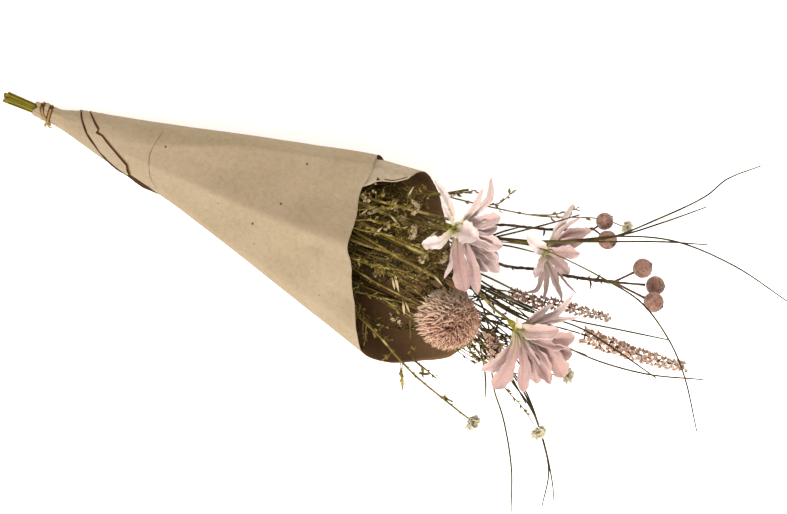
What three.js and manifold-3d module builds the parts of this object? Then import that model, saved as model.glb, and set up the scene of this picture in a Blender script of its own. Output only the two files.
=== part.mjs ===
// A mixed flower bouquet lying in a rolled cone of kraft paper.
// Millimetres. +X runs from the cut stems to the flowers, +Y to the side where the paper's
// inner layer shows, +Z up. The surface that the bouquet lies on is Z = 0.
// All places below are in this frame with X = 0 at the cut stems; at the end the group is
// shifted so that the origin is on the flat that the wrapper rests on.
import * as THREE from 'three';
import { mergeVertices } from 'three/addons/utils/BufferGeometryUtils.js';
import Module from 'manifold-3d';

const wasm = await Module();
wasm.setup();

// Driving dimensions
const REST = [210, 3]; // where the wrapper's underside is flat
const PAPER = 0.7; // thickness of the wrapper's sheet
const TURN_GAP_NECK = 1.0; // from one turn of the paper to the next, at the tie
const TURN_GAP_MOUTH = 4.0; // and at the mouth, where the turns stand loose
const MOUTH_X = 303; // where the stems leave the cone
const NECK_X = 46; // where the cone starts behind the tie
const NECK = { y: 1, z: 9 }; // middle of the tied bundle
const STEM_R = 1.25; // the seven thick stems
const THIN_R = 0.5; // the stems that lie in the grooves between them
const STEM_PITCH = 2.8; // middle to middle of two thick stems at the tie
const GROOVE_R = 3.92; // where a thin stem lies in its groove
const END_SPREAD = 1.2; // how much wider the bundle is at its cut ends than at the tie
const TWINE_R = 0.75;
const TIE_X = 37;
const TIE_R = 8.15; // of the twine's middle line, round the gathered paper
const PETAL = 0.8; // thickness of a petal
const GAP = 0.35; // between a flower and the stem that carries it
const SLACK = 0.06; // how far a face may move where small facets join into larger ones
const THISTLE_R = 27;
const THISTLE_CORE_R = 15;

// Colours and roughness
const FINISH = {
  paper: [0xc2a888, 0.9],
  twine: [0xb48c50, 0.85],
  stem: [0x8a8428, 0.6],
  leaf: [0x7a7634, 0.7],
  lily: [0xe2c3bd, 0.75],
  thistle: [0xb98774, 0.85],
  branch: [0x4a3626, 0.8],
  berry: [0xb07c68, 0.65],
  spray: [0xbd8c74, 0.85],
  grass: [0x4c4a36, 0.7],
  cream: [0xd6cea4, 0.8],
  white: [0xc9bca4, 0.85],
};

const rad = THREE.MathUtils.degToRad;

// A repeatable random number from 0 to 1
function seeded(seed) {
  let state = seed;
  return () => {
    state = (state * 1664525 + 1013904223) % 4294967296;
    return state / 4294967296;
  };
}

const vec = (p) => (p.isVector3 ? p.clone() : new THREE.Vector3(...p));

function curveThrough(points, closed = false) {
  return new THREE.CatmullRomCurve3(points.map(vec), closed, 'centripetal');
}

// The value at t from 0 to 1 along a list of evenly spread values
function along(values, t) {
  const place = THREE.MathUtils.clamp(t, 0, 1) * (values.length - 1);
  const i = Math.min(Math.floor(place), values.length - 2);
  return values[i] + (values[i + 1] - values[i]) * (place - i);
}

// The value at x of a table of rows [x, value, ...], from the given column
function lookUp(table, x, column = 1) {
  const rising = table[table.length - 1][0] > table[0][0];
  const beyond = (row) => (rising ? row[0] >= x : row[0] <= x);
  const i = Math.max(1, table.findIndex(beyond));
  const [a, b] = beyond(table[table.length - 1])
    ? [table[i - 1], table[i]]
    : [table[table.length - 2], table[table.length - 1]];
  const t = THREE.MathUtils.clamp((x - a[0]) / (b[0] - a[0]), 0, 1);
  return a[column] + (b[column] - a[column]) * t;
}

// Solids

function solidOf(geometry) {
  const bare = geometry.clone();
  bare.deleteAttribute('normal');
  bare.deleteAttribute('uv');
  const merged = mergeVertices(bare, 1e-4);
  const vertProperties = Float32Array.from(merged.attributes.position.array);
  const triVerts = Uint32Array.from(merged.index.array);
  const body = new wasm.Manifold(new wasm.Mesh({ numProp: 3, vertProperties, triVerts }));
  if (body.volume() > 0) return body;
  const turned = triVerts.map((_, i) => triVerts[i - (i % 3) + (2 - (i % 3))]);
  return new wasm.Manifold(new wasm.Mesh({ numProp: 3, vertProperties, triVerts: turned }));
}

function solidFrom(points, faces) {
  const geometry = new THREE.BufferGeometry().setFromPoints(points);
  geometry.setIndex(faces.flat());
  return solidOf(geometry);
}

// One body from many that run into each other; a sealed hollow is filled
function fuse(bodies) {
  const parts = wasm.Manifold.union(bodies).simplify(SLACK).decompose();
  return parts.reduce((best, part) => (part.volume() > best.volume() ? part : best));
}

// A body through rings of points, with flat ends, or closed on itself
function loft(rings, closed = false) {
  const sides = rings[0].length;
  const last = closed ? rings.length : rings.length - 1;
  const faces = [];
  for (let i = 0; i < last; i++) {
    for (let k = 0; k < sides; k++) {
      const a = i * sides + k;
      const b = i * sides + ((k + 1) % sides);
      const c = ((i + 1) % rings.length) * sides + k;
      const d = ((i + 1) % rings.length) * sides + ((k + 1) % sides);
      faces.push([a, b, d], [a, d, c]);
    }
  }
  const end = (rings.length - 1) * sides;
  for (let k = 1; k < sides - 1 && !closed; k++) {
    faces.push([0, k + 1, k], [end, end + k, end + k + 1]);
  }
  return solidFrom(rings.flat(), faces);
}

// A round rod along a smooth line; radii are spread evenly along it
function rod(points, radii, sides = 5, spacing = 14, closed = false) {
  const curve = curveThrough(points, closed);
  const steps = Math.max(2, Math.round(curve.getLength() / spacing));
  const frames = curve.computeFrenetFrames(steps, closed);
  const rings = [];
  for (let i = 0; i <= steps - (closed ? 1 : 0); i++) {
    const centre = curve.getPointAt(i / steps);
    const radius = along(radii, i / steps);
    const ring = [];
    for (let k = 0; k < sides; k++) {
      const turn = (2 * Math.PI * k) / sides;
      ring.push(centre.clone()
        .addScaledVector(frames.normals[i], radius * Math.cos(turn))
        .addScaledVector(frames.binormals[i], radius * Math.sin(turn)));
    }
    rings.push(ring);
  }
  return loft(rings, closed);
}

// A thin curved blade along a line, such as a petal. Both faces have the same triangles.
function blade(points, halfWidths, face, cup, steps = 4, thick = PETAL) {
  const curve = curveThrough(points);
  const across = [-1, 0, 1];
  const rows = steps + 1;
  const upper = [];
  const lower = [];
  for (let i = 0; i < rows; i++) {
    const t = i / steps;
    const middle = curve.getPointAt(t);
    const ahead = curve.getTangentAt(t);
    const side = ahead.clone().cross(vec(face)).normalize();
    const normal = side.clone().cross(ahead).normalize();
    const half = along(halfWidths, t);
    for (const s of across) {
      const p = middle.clone()
        .addScaledVector(side, s * half)
        .addScaledVector(normal, cup * half * s * s);
      upper.push(p.clone().addScaledVector(normal, thick / 2));
      lower.push(p.clone().addScaledVector(normal, -thick / 2));
    }
  }
  const n = across.length;
  const under = upper.length;
  const faces = [];
  for (let i = 0; i < steps; i++) {
    for (let k = 0; k < n - 1; k++) {
      const a = i * n + k;
      faces.push([a, a + 1, a + n + 1], [a, a + n + 1, a + n]);
      faces.push([under + a, under + a + n + 1, under + a + 1]);
      faces.push([under + a, under + a + n, under + a + n + 1]);
    }
    for (const [k, flip] of [[0, false], [n - 1, true]]) {
      const a = i * n + k;
      const wall = [[a, a + n, under + a + n], [a, under + a + n, under + a]];
      faces.push(...wall.map((f) => (flip ? f.toReversed() : f)));
    }
  }
  for (const [row, flip] of [[0, true], [steps, false]]) {
    for (let k = 0; k < n - 1; k++) {
      const a = row * n + k;
      const wall = [[a, a + 1, under + a + 1], [a, under + a + 1, under + a]];
      faces.push(...wall.map((f) => (flip ? f.toReversed() : f)));
    }
  }
  return solidFrom([...upper, ...lower], faces);
}

// Two vectors square to a direction
function squareTo(direction) {
  const ahead = direction.clone().normalize();
  const start = Math.abs(ahead.z) < 0.9 ? new THREE.Vector3(0, 0, 1) : new THREE.Vector3(1, 0, 0);
  const u = start.cross(ahead).normalize();
  return [u, ahead.clone().cross(u)];
}

// A spike, bud or small leaf: pointed at both ends, widest part-way along
function spindle(root, tip, radius, sides = 3, widest = 0.4, flat = 1) {
  const a = vec(root);
  const b = vec(tip);
  const [u, v] = squareTo(b.clone().sub(a));
  const middle = a.clone().lerp(b, widest);
  const points = [a, b];
  const faces = [];
  for (let k = 0; k < sides; k++) {
    const turn = (2 * Math.PI * k) / sides;
    points.push(middle.clone()
      .addScaledVector(u, radius * Math.cos(turn))
      .addScaledVector(v, radius * flat * Math.sin(turn)));
    const next = 2 + ((k + 1) % sides);
    faces.push([0, next, 2 + k], [1, 2 + k, next]);
  }
  return solidFrom(points, faces);
}

// Nodes

const bouquet = new THREE.Group();

function add(name, body, finish) {
  const mesh = body.getMesh();
  const geometry = new THREE.BufferGeometry();
  geometry.setAttribute('position', new THREE.BufferAttribute(mesh.vertProperties.slice(), 3));
  geometry.setIndex(new THREE.BufferAttribute(mesh.triVerts.slice(), 1));
  geometry.computeVertexNormals();
  const [color, roughness] = FINISH[finish];
  const material = new THREE.MeshStandardMaterial({ color, roughness, metalness: 0 });
  const node = new THREE.Mesh(geometry, material);
  node.name = name;
  bouquet.add(node);
}

// Kraft-paper wrapper. Angles go round the cone's axis from the top, + to +Y, and the sheet
// runs from its outer edge at OUTER_EDGE down to its inner edge, two turns further in.

const OUTER_EDGE = 100;
const ANGLE_STEP = 15;
const ANGLE_STEPS = 48;
const CELLS = 11;
const GATHER_X = [24, 28, 32, 36, 41, NECK_X]; // stations along the gathered collar
const HEM_FULL = -200; // up to here the outer turn's stations are evenly spread
const CROWDED = 0.8; // between stations where they crowd together at the edge
const HEM_END = -72; // the turned-up hem ends here
const HEM_RAISED = 1; // its height above the sheet

// The cone's outside: X, then its lowest and highest Y and Z. Below Z = 0 it lies flat.
const CONE = [
  [24, -6.3, 8.3, 1.7, 16.3],
  [28, -6.6, 8.6, 1.4, 16.6],
  [32, -7.2, 9.2, 0.8, 17.2],
  [36, -6.5, 8.5, 1.5, 16.5],
  [41, -6.5, 8.5, 1.5, 16.5],
  [46, -6.6, 8.7, 1.4, 16.7],
  [60, -7.8, 14.3, 0.4, 21.3],
  [90, -14.4, 21.3, -1.5, 31.4],
  [142, -25.6, 33.9, -3, 49],
  [163, -30.8, 39.3, -3.6, 56],
  [293, -68.2, 71.2, -8, 100],
  [339, -81.4, 82.4, -9.4, 117],
  [420, -104.4, 102.2, -12, 147],
];

// The sheet's edge towards the cut stems, by angle. Its outer turn ends in the hem.
const HEM = [
  [OUTER_EDGE, 57.5],
  [60, 60.5],
  [12, 65],
  [-27, 73.7],
  [-69, 93.7],
  [-76, 115],
  [-90, 138],
  [-120, 120],
  [-180, 75],
  [-230, 52],
  [-244, NECK_X + 0.4],
  [-259, NECK_X + 0.4],
];
const HEM_RAW_EDGE = [
  [OUTER_EDGE, 66],
  [60, 68.5],
  [1, 78.8],
  [-10, 84.3],
  [-41, 101.8],
  [-50, 108],
  [-72, 114],
];

// The sheet's edge at the mouth, by angle, from the outer edge to the inner one
const MOUTH = [
  [OUTER_EDGE, 292],
  [54, 294],
  [39, 292.5],
  [17, 297],
  [-5, 299],
  [-16, 307],
  [-37, 317],
  [-60, 332],
  [-90, 345],
  [-110, 361],
  [-121, 373],
  [-132, 387],
  [-147, 411],
  [-160, 419],
  [-178, 402],
  [-194, 378],
  [-224, 354],
  [-255, 338],
  [-290, 330],
  [-303, 322],
  [-320, 294],
  [-360, 250],
  [-420, 180],
  [-500, 110],
  [-580, 70],
  [-620, 52],
];

function turnGap(x) {
  const t = THREE.MathUtils.clamp((x - NECK_X) / (MOUTH_X - NECK_X), 0, 1);
  return THREE.MathUtils.lerp(TURN_GAP_NECK, TURN_GAP_MOUTH, t);
}

// A point of the sheet, at a depth below its outer face
function paperPoint(angle, x, depth) {
  const [yLow, yHigh, zLow, zHigh] = [1, 2, 3, 4].map((column) => lookUp(CONE, x, column));
  const inset = ((OUTER_EDGE - angle) / 360) * turnGap(x) + depth;
  const y = (yLow + yHigh) / 2 + ((yHigh - yLow) / 2 - inset) * Math.sin(rad(angle));
  const z = (zLow + zHigh) / 2 + ((zHigh - zLow) / 2 - inset) * Math.cos(rad(angle));
  const layersBelow = angle < -360 ? 1 : 0;
  return new THREE.Vector3(x, y, Math.max(z, layersBelow * turnGap(x) + depth));
}

// Stations along the cone at one angle. The inner turns go on into the gathered collar, and
// towards them the outer turn's stations crowd together at its edge.
function paperStations(angle) {
  const end = lookUp(MOUTH, angle);
  const gathers = GATHER_X.length - 1;
  const edge = lookUp(HEM, angle);
  const gathered = angle < HEM[HEM.length - 1][0];
  const crowd = THREE.MathUtils.clamp((HEM_FULL - angle) / (3 * ANGLE_STEP), 0, 1);
  const stations = [];
  for (let i = 0; i <= CELLS; i++) {
    const near = gathered ? GATHER_X[i] : edge + i * CROWDED;
    const start = gathered ? NECK_X : edge + gathers * CROWDED;
    const far = start + ((end - start) * (i - gathers)) / (CELLS - gathers);
    const crowded = i < gathers ? near : far;
    const even = edge + ((end - edge) * i) / CELLS;
    stations.push(gathered ? crowded : THREE.MathUtils.lerp(even, crowded, crowd));
  }
  return stations;
}

// A sheet between two faces given by a grid of [angle, x] cells
function sheet(columns, outer, inner) {
  const rows = columns[0].xs.length;
  const points = [];
  for (const depth of [outer, inner]) {
    for (const { angle, xs } of columns) {
      for (const x of xs) points.push(paperPoint(angle, x, depth));
    }
  }
  const under = columns.length * rows;
  const faces = [];
  const wall = (a, b) => faces.push([a, b, under + b], [a, under + b, under + a]);
  for (let i = 0; i < columns.length - 1; i++) {
    for (let j = 0; j < rows - 1; j++) {
      const a = i * rows + j;
      const [b, c, d] = [a + 1, a + rows, a + rows + 1];
      faces.push([a, d, b], [a, c, d]);
      faces.push([under + a, under + b, under + d], [under + a, under + d, under + c]);
    }
    wall((i + 1) * rows, i * rows);
    wall(i * rows + rows - 1, (i + 1) * rows + rows - 1);
  }
  for (let j = 0; j < rows - 1; j++) {
    wall(j, j + 1);
    wall((columns.length - 1) * rows + j + 1, (columns.length - 1) * rows + j);
  }
  return solidFrom(points, faces);
}

function paperWrap() {
  const columns = [];
  for (let i = 0; i <= ANGLE_STEPS; i++) {
    const angle = OUTER_EDGE - i * ANGLE_STEP;
    columns.push({ angle, xs: paperStations(angle) });
  }
  const band = [];
  for (let angle = OUTER_EDGE - 4; angle >= HEM_END; angle -= ANGLE_STEP) {
    const fold = lookUp(HEM, angle) - 0.6;
    const raw = Math.max(lookUp(HEM_RAW_EDGE, angle), fold + 2);
    band.push({ angle, xs: [fold, (fold + raw) / 2, raw] });
  }
  return fuse([sheet(columns, 0, PAPER), sheet(band, -HEM_RAISED, PAPER / 2)]);
}

add('paper_wrap', paperWrap(), 'paper');

// Twine: two turns that cross on top, a knot on the lower side and two short ends

function twineTurn(slant) {
  const points = [];
  for (let k = 0; k < 12; k++) {
    const angle = (2 * Math.PI * k) / 12;
    const y = TIE_R * Math.sin(angle);
    points.push([TIE_X + slant * y, NECK.y + y, NECK.z + TIE_R * Math.cos(angle)]);
  }
  return rod(points, [TWINE_R, TWINE_R], 4, 3.8, true);
}

function twineTie() {
  const low = [TIE_X + 1, NECK.y - TIE_R, NECK.z + 1];
  const knot = new THREE.SphereGeometry(1.8, 7, 5);
  knot.translate(low[0], low[1] - 0.4, low[2]);
  const high = [TIE_X + 1.5, NECK.y + TIE_R * 0.9, NECK.z + TIE_R * 0.55];
  return fuse([
    twineTurn(0.28),
    twineTurn(-0.28),
    solidOf(knot),
    rod([low, [low[0] + 3, low[1] - 2, low[2] + 1], [low[0] + 6, low[1] - 1, low[2] + 2]],
      [0.7, 0.5], 4, 2.5),
    rod([high, [high[0] + 3, high[1] + 1.4, high[2]], [high[0] + 6, high[1] + 2.6, high[2] - 1]],
      [0.7, 0.5], 4, 2.5),
  ]);
}

add('twine_tie', twineTie(), 'twine');

// A stem lies straight in the tied bundle, fans out to the cone's mouth and goes on from there

function seat(turn, radius) {
  return [NECK.y + radius * Math.cos(rad(turn)), NECK.z + radius * Math.sin(rad(turn))];
}

function stemLine(cut, place, mouth, onward) {
  const [y, z] = place;
  const start = [NECK_X, y, z];
  const end = [cut, NECK.y + (y - NECK.y) * END_SPREAD, NECK.z + (z - NECK.z) * END_SPREAD];
  const fan = [0.15, 0.4, 0.7].map((t) => start.map((v, i) => v + (mouth[i] - v) * t));
  return [end, [22, y, z], start, ...fan, mouth, ...onward];
}

const thick = (turn) => (turn === null ? [NECK.y, NECK.z] : seat(turn, STEM_PITCH));
const groove = (turn) => seat(turn, GROOVE_R);
const STEM_RADII = [STEM_R, STEM_R, 1.1, 1.0, 0.9];
const THIN_RADII = [THIN_R, THIN_R, 0.6, 0.6, 0.5];

// Lily-like blooms. A petal is [tip, half width]; its middle is lifted along the bloom's axis.

const LILIES = [
  {
    cut: 0,
    turn: 60,
    mouth: [MOUTH_X, 31, 67],
    onward: [[338, 32, 73]],
    heart: [371, 39, 84],
    axis: [0.55, 0.12, 0.83],
    petals: [
      [[343, 69, 92], 3.6],
      [[382, 78, 98], 4.2],
      [[386, 88, 89], 4.6],
      [[403, 64, 88], 6.6],
      [[394, 36, 101], 6],
      [[411, 41, 83], 5.4],
      [[419, 21, 80], 6.4],
      [[408, 0, 88], 7],
      [[396, -2, 95], 5.4],
      [[380, -1, 85], 3.6],
      [[352, 21, 95], 5.6],
    ],
  },
  {
    cut: 2.5,
    turn: 0,
    mouth: [MOUTH_X, 33, 46],
    onward: [[372, 41, 51], [415, 47, 55]],
    heart: [443, 50, 60],
    axis: [0.86, -0.12, 0.5],
    petals: [
      [[455, 94, 65], 3.2],
      [[463, 85, 73], 4.2],
      [[474, 80, 62], 5.4],
      [[473, 58, 77], 6.6],
      [[431, 57, 74], 4.4],
      [[446, 15, 59], 2.8],
      [[461, 14, 67], 2.6],
      [[473, 19, 60], 3.4],
      [[482, 30, 58], 2.6],
      [[446, 29, 72], 4.6],
    ],
  },
  {
    cut: 1.5,
    turn: 120,
    mouth: [MOUTH_X, 0, 78],
    onward: [[372, 6, 74], [396, 6, 74], [423, -7, 78]],
    heart: [447, -15, 83],
    axis: [0.7, -0.3, 0.65],
    petals: [
      [[436, -57, 82], 4.8],
      [[449, -68, 87], 6.4],
      [[472, -61, 93], 5.6],
      [[483, -49, 88], 6],
      [[495, -38, 82], 6.2],
      [[494, -5, 84], 6.8],
      [[479, -8, 105], 6.4],
      [[481, 25, 92], 4],
      [[466, 14, 97], 3.2],
      [[488, 8, 87], 3.2],
    ],
  },
];
const PETAL_WIDTHS = [0.3, 0.62, 0.95, 0.92, 0.16];

function lily(data, number) {
  const heart = vec(data.heart);
  const axis = vec(data.axis).normalize();
  const seatPoint = heart.clone().addScaledVector(axis, -2.4 - GAP);
  const throat = heart.clone().addScaledVector(axis, -8);
  const line = [...data.onward, heart.clone().addScaledVector(axis, -13)];
  const stem = rod([...stemLine(data.cut, thick(data.turn), data.mouth, line), throat],
    STEM_RADII, 6, 22);
  const calyx = rod([heart.clone().addScaledVector(axis, -11), throat, seatPoint],
    [0.9, 2.2, 2.9, 2.6], 6, 2.5);
  add(`lily_stem_${number}`, fuse([stem, calyx]), 'stem');

  const core = rod([heart.clone().addScaledVector(axis, -2.4), heart,
    heart.clone().addScaledVector(axis, 3)], [2.4, 3, 1.4], 6, 2.6);
  const petals = data.petals.map(([tip, half], i) => {
    const out = vec(tip).sub(heart);
    const flat = out.clone().addScaledVector(axis, -out.dot(axis)).normalize();
    const length = out.length();
    const first = heart.clone().addScaledVector(axis, 0.5).addScaledVector(flat, 1);
    const near = heart.clone().addScaledVector(axis, 4 + (i % 3)).addScaledVector(flat, 5);
    const middle = heart.clone().addScaledVector(out, 0.55)
      .addScaledVector(axis, length * 0.12 + (i % 2) * 1.6);
    const widths = PETAL_WIDTHS.map((w) => Math.max(w * half, 0.7));
    return blade([first, near, middle, vec(tip)], widths, axis, 0.3);
  });
  add(`lily_bloom_${number}`, fuse([core, ...petals]), 'lily');
}

LILIES.forEach((data, i) => lily(data, i + 1));

// Thistle: a round head of spikes on a stem

const THISTLE = [396, -29, 74];

function thistle() {
  const heart = vec(THISTLE);
  const from = vec([374, -20, 66]);
  const toStem = from.clone().sub(heart).normalize();
  const foot = heart.clone().addScaledVector(toStem, THISTLE_CORE_R + 1.2 + GAP);
  const line = stemLine(1, thick(180), [MOUTH_X, -12, 58], [[349, -15, 63], foot]);
  add('thistle_stem', rod(line, STEM_RADII, 6, 22), 'stem');

  const core = new THREE.IcosahedronGeometry(THISTLE_CORE_R, 1);
  core.translate(...THISTLE);
  const parts = [solidOf(core)];
  const random = seeded(7);
  const count = 80;
  for (let i = 0; i < count; i++) {
    const z = 1 - (2 * (i + 0.5)) / count;
    const turn = i * Math.PI * (3 - Math.sqrt(5));
    const out = new THREE.Vector3(Math.cos(turn), Math.sin(turn), 0)
      .multiplyScalar(Math.sqrt(1 - z * z));
    out.z = z;
    const length = THISTLE_R * (0.86 + 0.16 * random());
    const [u, v] = squareTo(out);
    const tip = out.clone().multiplyScalar(length)
      .addScaledVector(u, 3 * (random() - 0.5))
      .addScaledVector(v, 3 * (random() - 0.5));
    if (out.angleTo(toStem) < 0.5) continue;
    const root = heart.clone().addScaledVector(out, THISTLE_CORE_R * 0.72);
    parts.push(spindle(root, heart.clone().add(tip), 1.7, 3, 0.45));
  }
  const collar = heart.clone().addScaledVector(toStem, THISTLE_CORE_R - 3);
  const end = heart.clone().addScaledVector(toStem, THISTLE_CORE_R + 1);
  parts.push(rod([collar, end], [4, 2], 6, 2));
  add('thistle_head', fuse(parts), 'thistle');
}

thistle();

// Berry branch with a fork, and a berry at each end

const BERRIES = [
  { at: [481, 90, 54], r: 7.0, from: [475, 81, 55] },
  { at: [488, 77, 65], r: 7.7, from: [475, 81, 55] },
  { at: [523, 67, 56], r: 7.6, from: [506, 48, 49] },
  { at: [538, 58, 46], r: 7.7, from: [506, 48, 49] },
  { at: [541, 45, 61], r: 8.2, from: [506, 48, 49] },
];
const BERRY_FORK = [360, 33, 42];
const BERRY_UPPER = [[405, 56, 49], [428, 63, 50], [447, 69, 51], [475, 81, 55]];
const BERRY_LOWER = [[418, 27, 44], [445, 34, 42], [467, 38, 43], [488, 43, 46], [506, 48, 49]];
const BERRY_STUBS = [
  [[439, 66, 50.5], [440, 61, 50]],
  [[488, 43, 46], [491, 36, 45]],
  [[492, 44, 46.4], [494, 50, 48]],
];

function berries() {
  const trunk = rod(stemLine(3, thick(300), [MOUTH_X, 24, 32], [BERRY_FORK]), STEM_RADII, 6, 22);
  const parts = [trunk];
  parts.push(rod([BERRY_FORK, ...BERRY_UPPER], [0.9, 0.9, 1], 5, 20));
  parts.push(rod([BERRY_FORK, ...BERRY_LOWER], [0.9, 1, 1.2], 5, 20));
  for (const [from, to] of BERRY_STUBS) parts.push(rod([from, to], [1, 0.5], 4, 8));
  BERRIES.forEach(({ at, r, from }, i) => {
    const towards = vec(from).sub(vec(at)).normalize();
    const foot = vec(at).addScaledVector(towards, r + 2 * GAP);
    const bend = vec(from).lerp(foot, 0.5).add(new THREE.Vector3(0, 0, -1));
    parts.push(rod([from, bend, foot], [0.8, 0.8, 1], 4, 8));

    const ball = new THREE.SphereGeometry(r, 10, 7);
    ball.translate(...at);
    const out = (distance) => vec(at).addScaledVector(towards, distance);
    const nub = spindle(out(2 - r), out(-r - 0.9), 1.3, 5);
    const calyx = spindle(out(r - 2), out(r + GAP), 1.3, 4);
    add(`berry_${i + 1}`, fuse([solidOf(ball), nub, calyx]), 'berry');
  });
  add('berry_branch', fuse(parts), 'branch');
}

berries();

// Feathery sprays: small florets all round a thin axis

const SPRAYS = [
  { line: [[430, 9, 44], [450, 10, 44], [475, 15, 45], [512, 20, 47]], wide: [4.6, 5, 2.6], florets: 34 },
  { line: [[497, 0, 57], [533, 1, 58], [566, 5, 58], [587, 8.5, 57]], wide: [8, 7.6, 4], florets: 45 },
  { line: [[428, -24, 56], [436, -35, 57], [445, -51, 56]], wide: [4.4, 4.6, 3], florets: 14 },
];
const SPRAY_FORK = [400, 3, 47];
const FLORET_TURN = rad(2 * 72 + 8); // round the axis, from one floret to the next

function sprays() {
  const main = stemLine(0.5, thick(null), [MOUTH_X, 4, 42], [SPRAY_FORK]);
  const stems = [rod(main, STEM_RADII, 6, 22)];
  const lead = [
    [[418, 6, 45]],
    [[450, -4, 53]],
    [[416, -9, 54]],
  ];
  SPRAYS.forEach(({ line, wide, florets }, n) => {
    const curve = curveThrough(line);
    const start = vec(line[0]).addScaledVector(curve.getTangentAt(0), -GAP);
    stems.push(rod([SPRAY_FORK, ...lead[n], start], [0.8, 0.7, 0.6], 4, 14));
    const parts = [rod(line, [0.7, 0.7, 0.5], 4, 12)];
    const random = seeded(31 + n);
    for (let i = 0; i < florets; i++) {
      const t = (i + 0.5) / florets;
      const centre = curve.getPointAt(t);
      const ahead = curve.getTangentAt(t);
      const [u, v] = squareTo(ahead);
      const turn = FLORET_TURN * i;
      const out = u.clone().multiplyScalar(Math.cos(turn)).addScaledVector(v, Math.sin(turn));
      const tip = centre.clone().addScaledVector(out, along(wide, t) * (0.85 + 0.25 * random()))
        .addScaledVector(ahead, 3 + 2 * random());
      parts.push(spindle(centre, tip, 1.3, 3, 0.7));
    }
    const end = curve.getPointAt(1);
    const tip = end.clone().addScaledVector(curve.getTangentAt(1), 3.5);
    parts.push(spindle(curve.getPointAt(0.98), tip, 1.1, 4, 0.5));
    add(`astilbe_spray_${n + 1}`, fuse(parts), 'spray');
  });
  add('astilbe_stem', fuse(stems), 'branch');
}

sprays();

// Grass tufts: each is one thin stem that parts into blades

const GRASS_TUFTS = [
  {
    cut: 4,
    turn: 30,
    mouth: [MOUTH_X, 40, 57],
    neck: [[350, 38, 60], [385, 38, 64], [412, 44, 71]],
    blades: [
      [[441, 57, 87], [484, 76, 88], [519, 108, 84], [547, 139, 79], [557, 157, 76], [579, 178, 70]],
      [[441, 56, 86], [494, 83, 85], [523, 106, 78], [551, 131, 70]],
      [[441, 55, 87], [498, 84, 83], [538, 96, 77], [589, 96, 66], [641, 86, 52]],
      [[441, 56, 88], [485, 74, 90], [529, 92, 92], [562, 103, 92]],
      [[437, 50, 84], [461, 50, 90], [497, 47, 88], [531, 41, 81], [563, 22, 72], [586, 0, 60],
        [613, -37, 42]],
    ],
  },
  {
    cut: 6,
    turn: 150,
    mouth: [MOUTH_X, -16, 72],
    neck: [[340, -4, 68], [372, 3, 62], [400, 5, 62], [440, 0, 67]],
    blades: [
      [[489, 8, 70], [526, 15, 67], [564, 22, 62]],
      [[494, 4, 73], [525, -1, 72], [557, -8, 66], [566, -10, 63]],
      [[480, -12, 69], [510, -15, 67], [557, -10, 62], [601, 3, 56]],
      [[480, -14, 66], [508, -14, 63]],
    ],
  },
  {
    cut: 5,
    turn: 270,
    mouth: [MOUTH_X, -10, 21],
    neck: [[372, -24, 26], [420, -31, 30]],
    blades: [
      [[440, -50, 34], [451, -68, 37], [466, -86, 38], [487, -120, 33], [501, -154, 22]],
      [[448, -44, 35], [474, -61, 40], [502, -90, 40], [522, -119, 34], [529, -132, 28]],
      [[448, -43, 36], [474, -59, 41], [500, -88, 38], [516, -112, 32], [522, -140, 24]],
      [[444, -40, 37], [462, -55, 43], [478, -68, 44]],
      [[437, -24, 36], [450, -33, 41], [466, -44, 45]],
      [[430, -44, 33], [440, -60, 34], [447, -76, 33]],
    ],
  },
];

function grassTuft(data, number) {
  const root = data.neck[data.neck.length - 1];
  const before = data.neck[data.neck.length - 2];
  const near = root.map((v, i) => v + (before[i] - v) * 0.3);
  const line = stemLine(data.cut, groove(data.turn), data.mouth, data.neck);
  const parts = [rod(line, THIN_RADII, 5, 22)];
  for (const points of data.blades) {
    parts.push(rod([near, root, ...points], [0.6, 0.6, 0.55, 0.5, 0.35], 3, 24));
  }
  add(`grass_tuft_${number}`, fuse(parts), 'grass');
}

GRASS_TUFTS.forEach((data, i) => grassTuft(data, i + 1));

// Leafy sprigs: a thin stem with side twigs, set with small leaves and buds

// The ends that carry a small flower
const SPRIG_ENDS = {
  mouth: [368, 15, 78.4],
  inner: [331.4, 40.5, 84],
  middle: [337.5, 24.1, 84],
  upper: [496.1, 92.2, 44.7],
  lower: [492, -82.4, 52.2],
  raised: [496.1, -35.7, 67],
};

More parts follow.
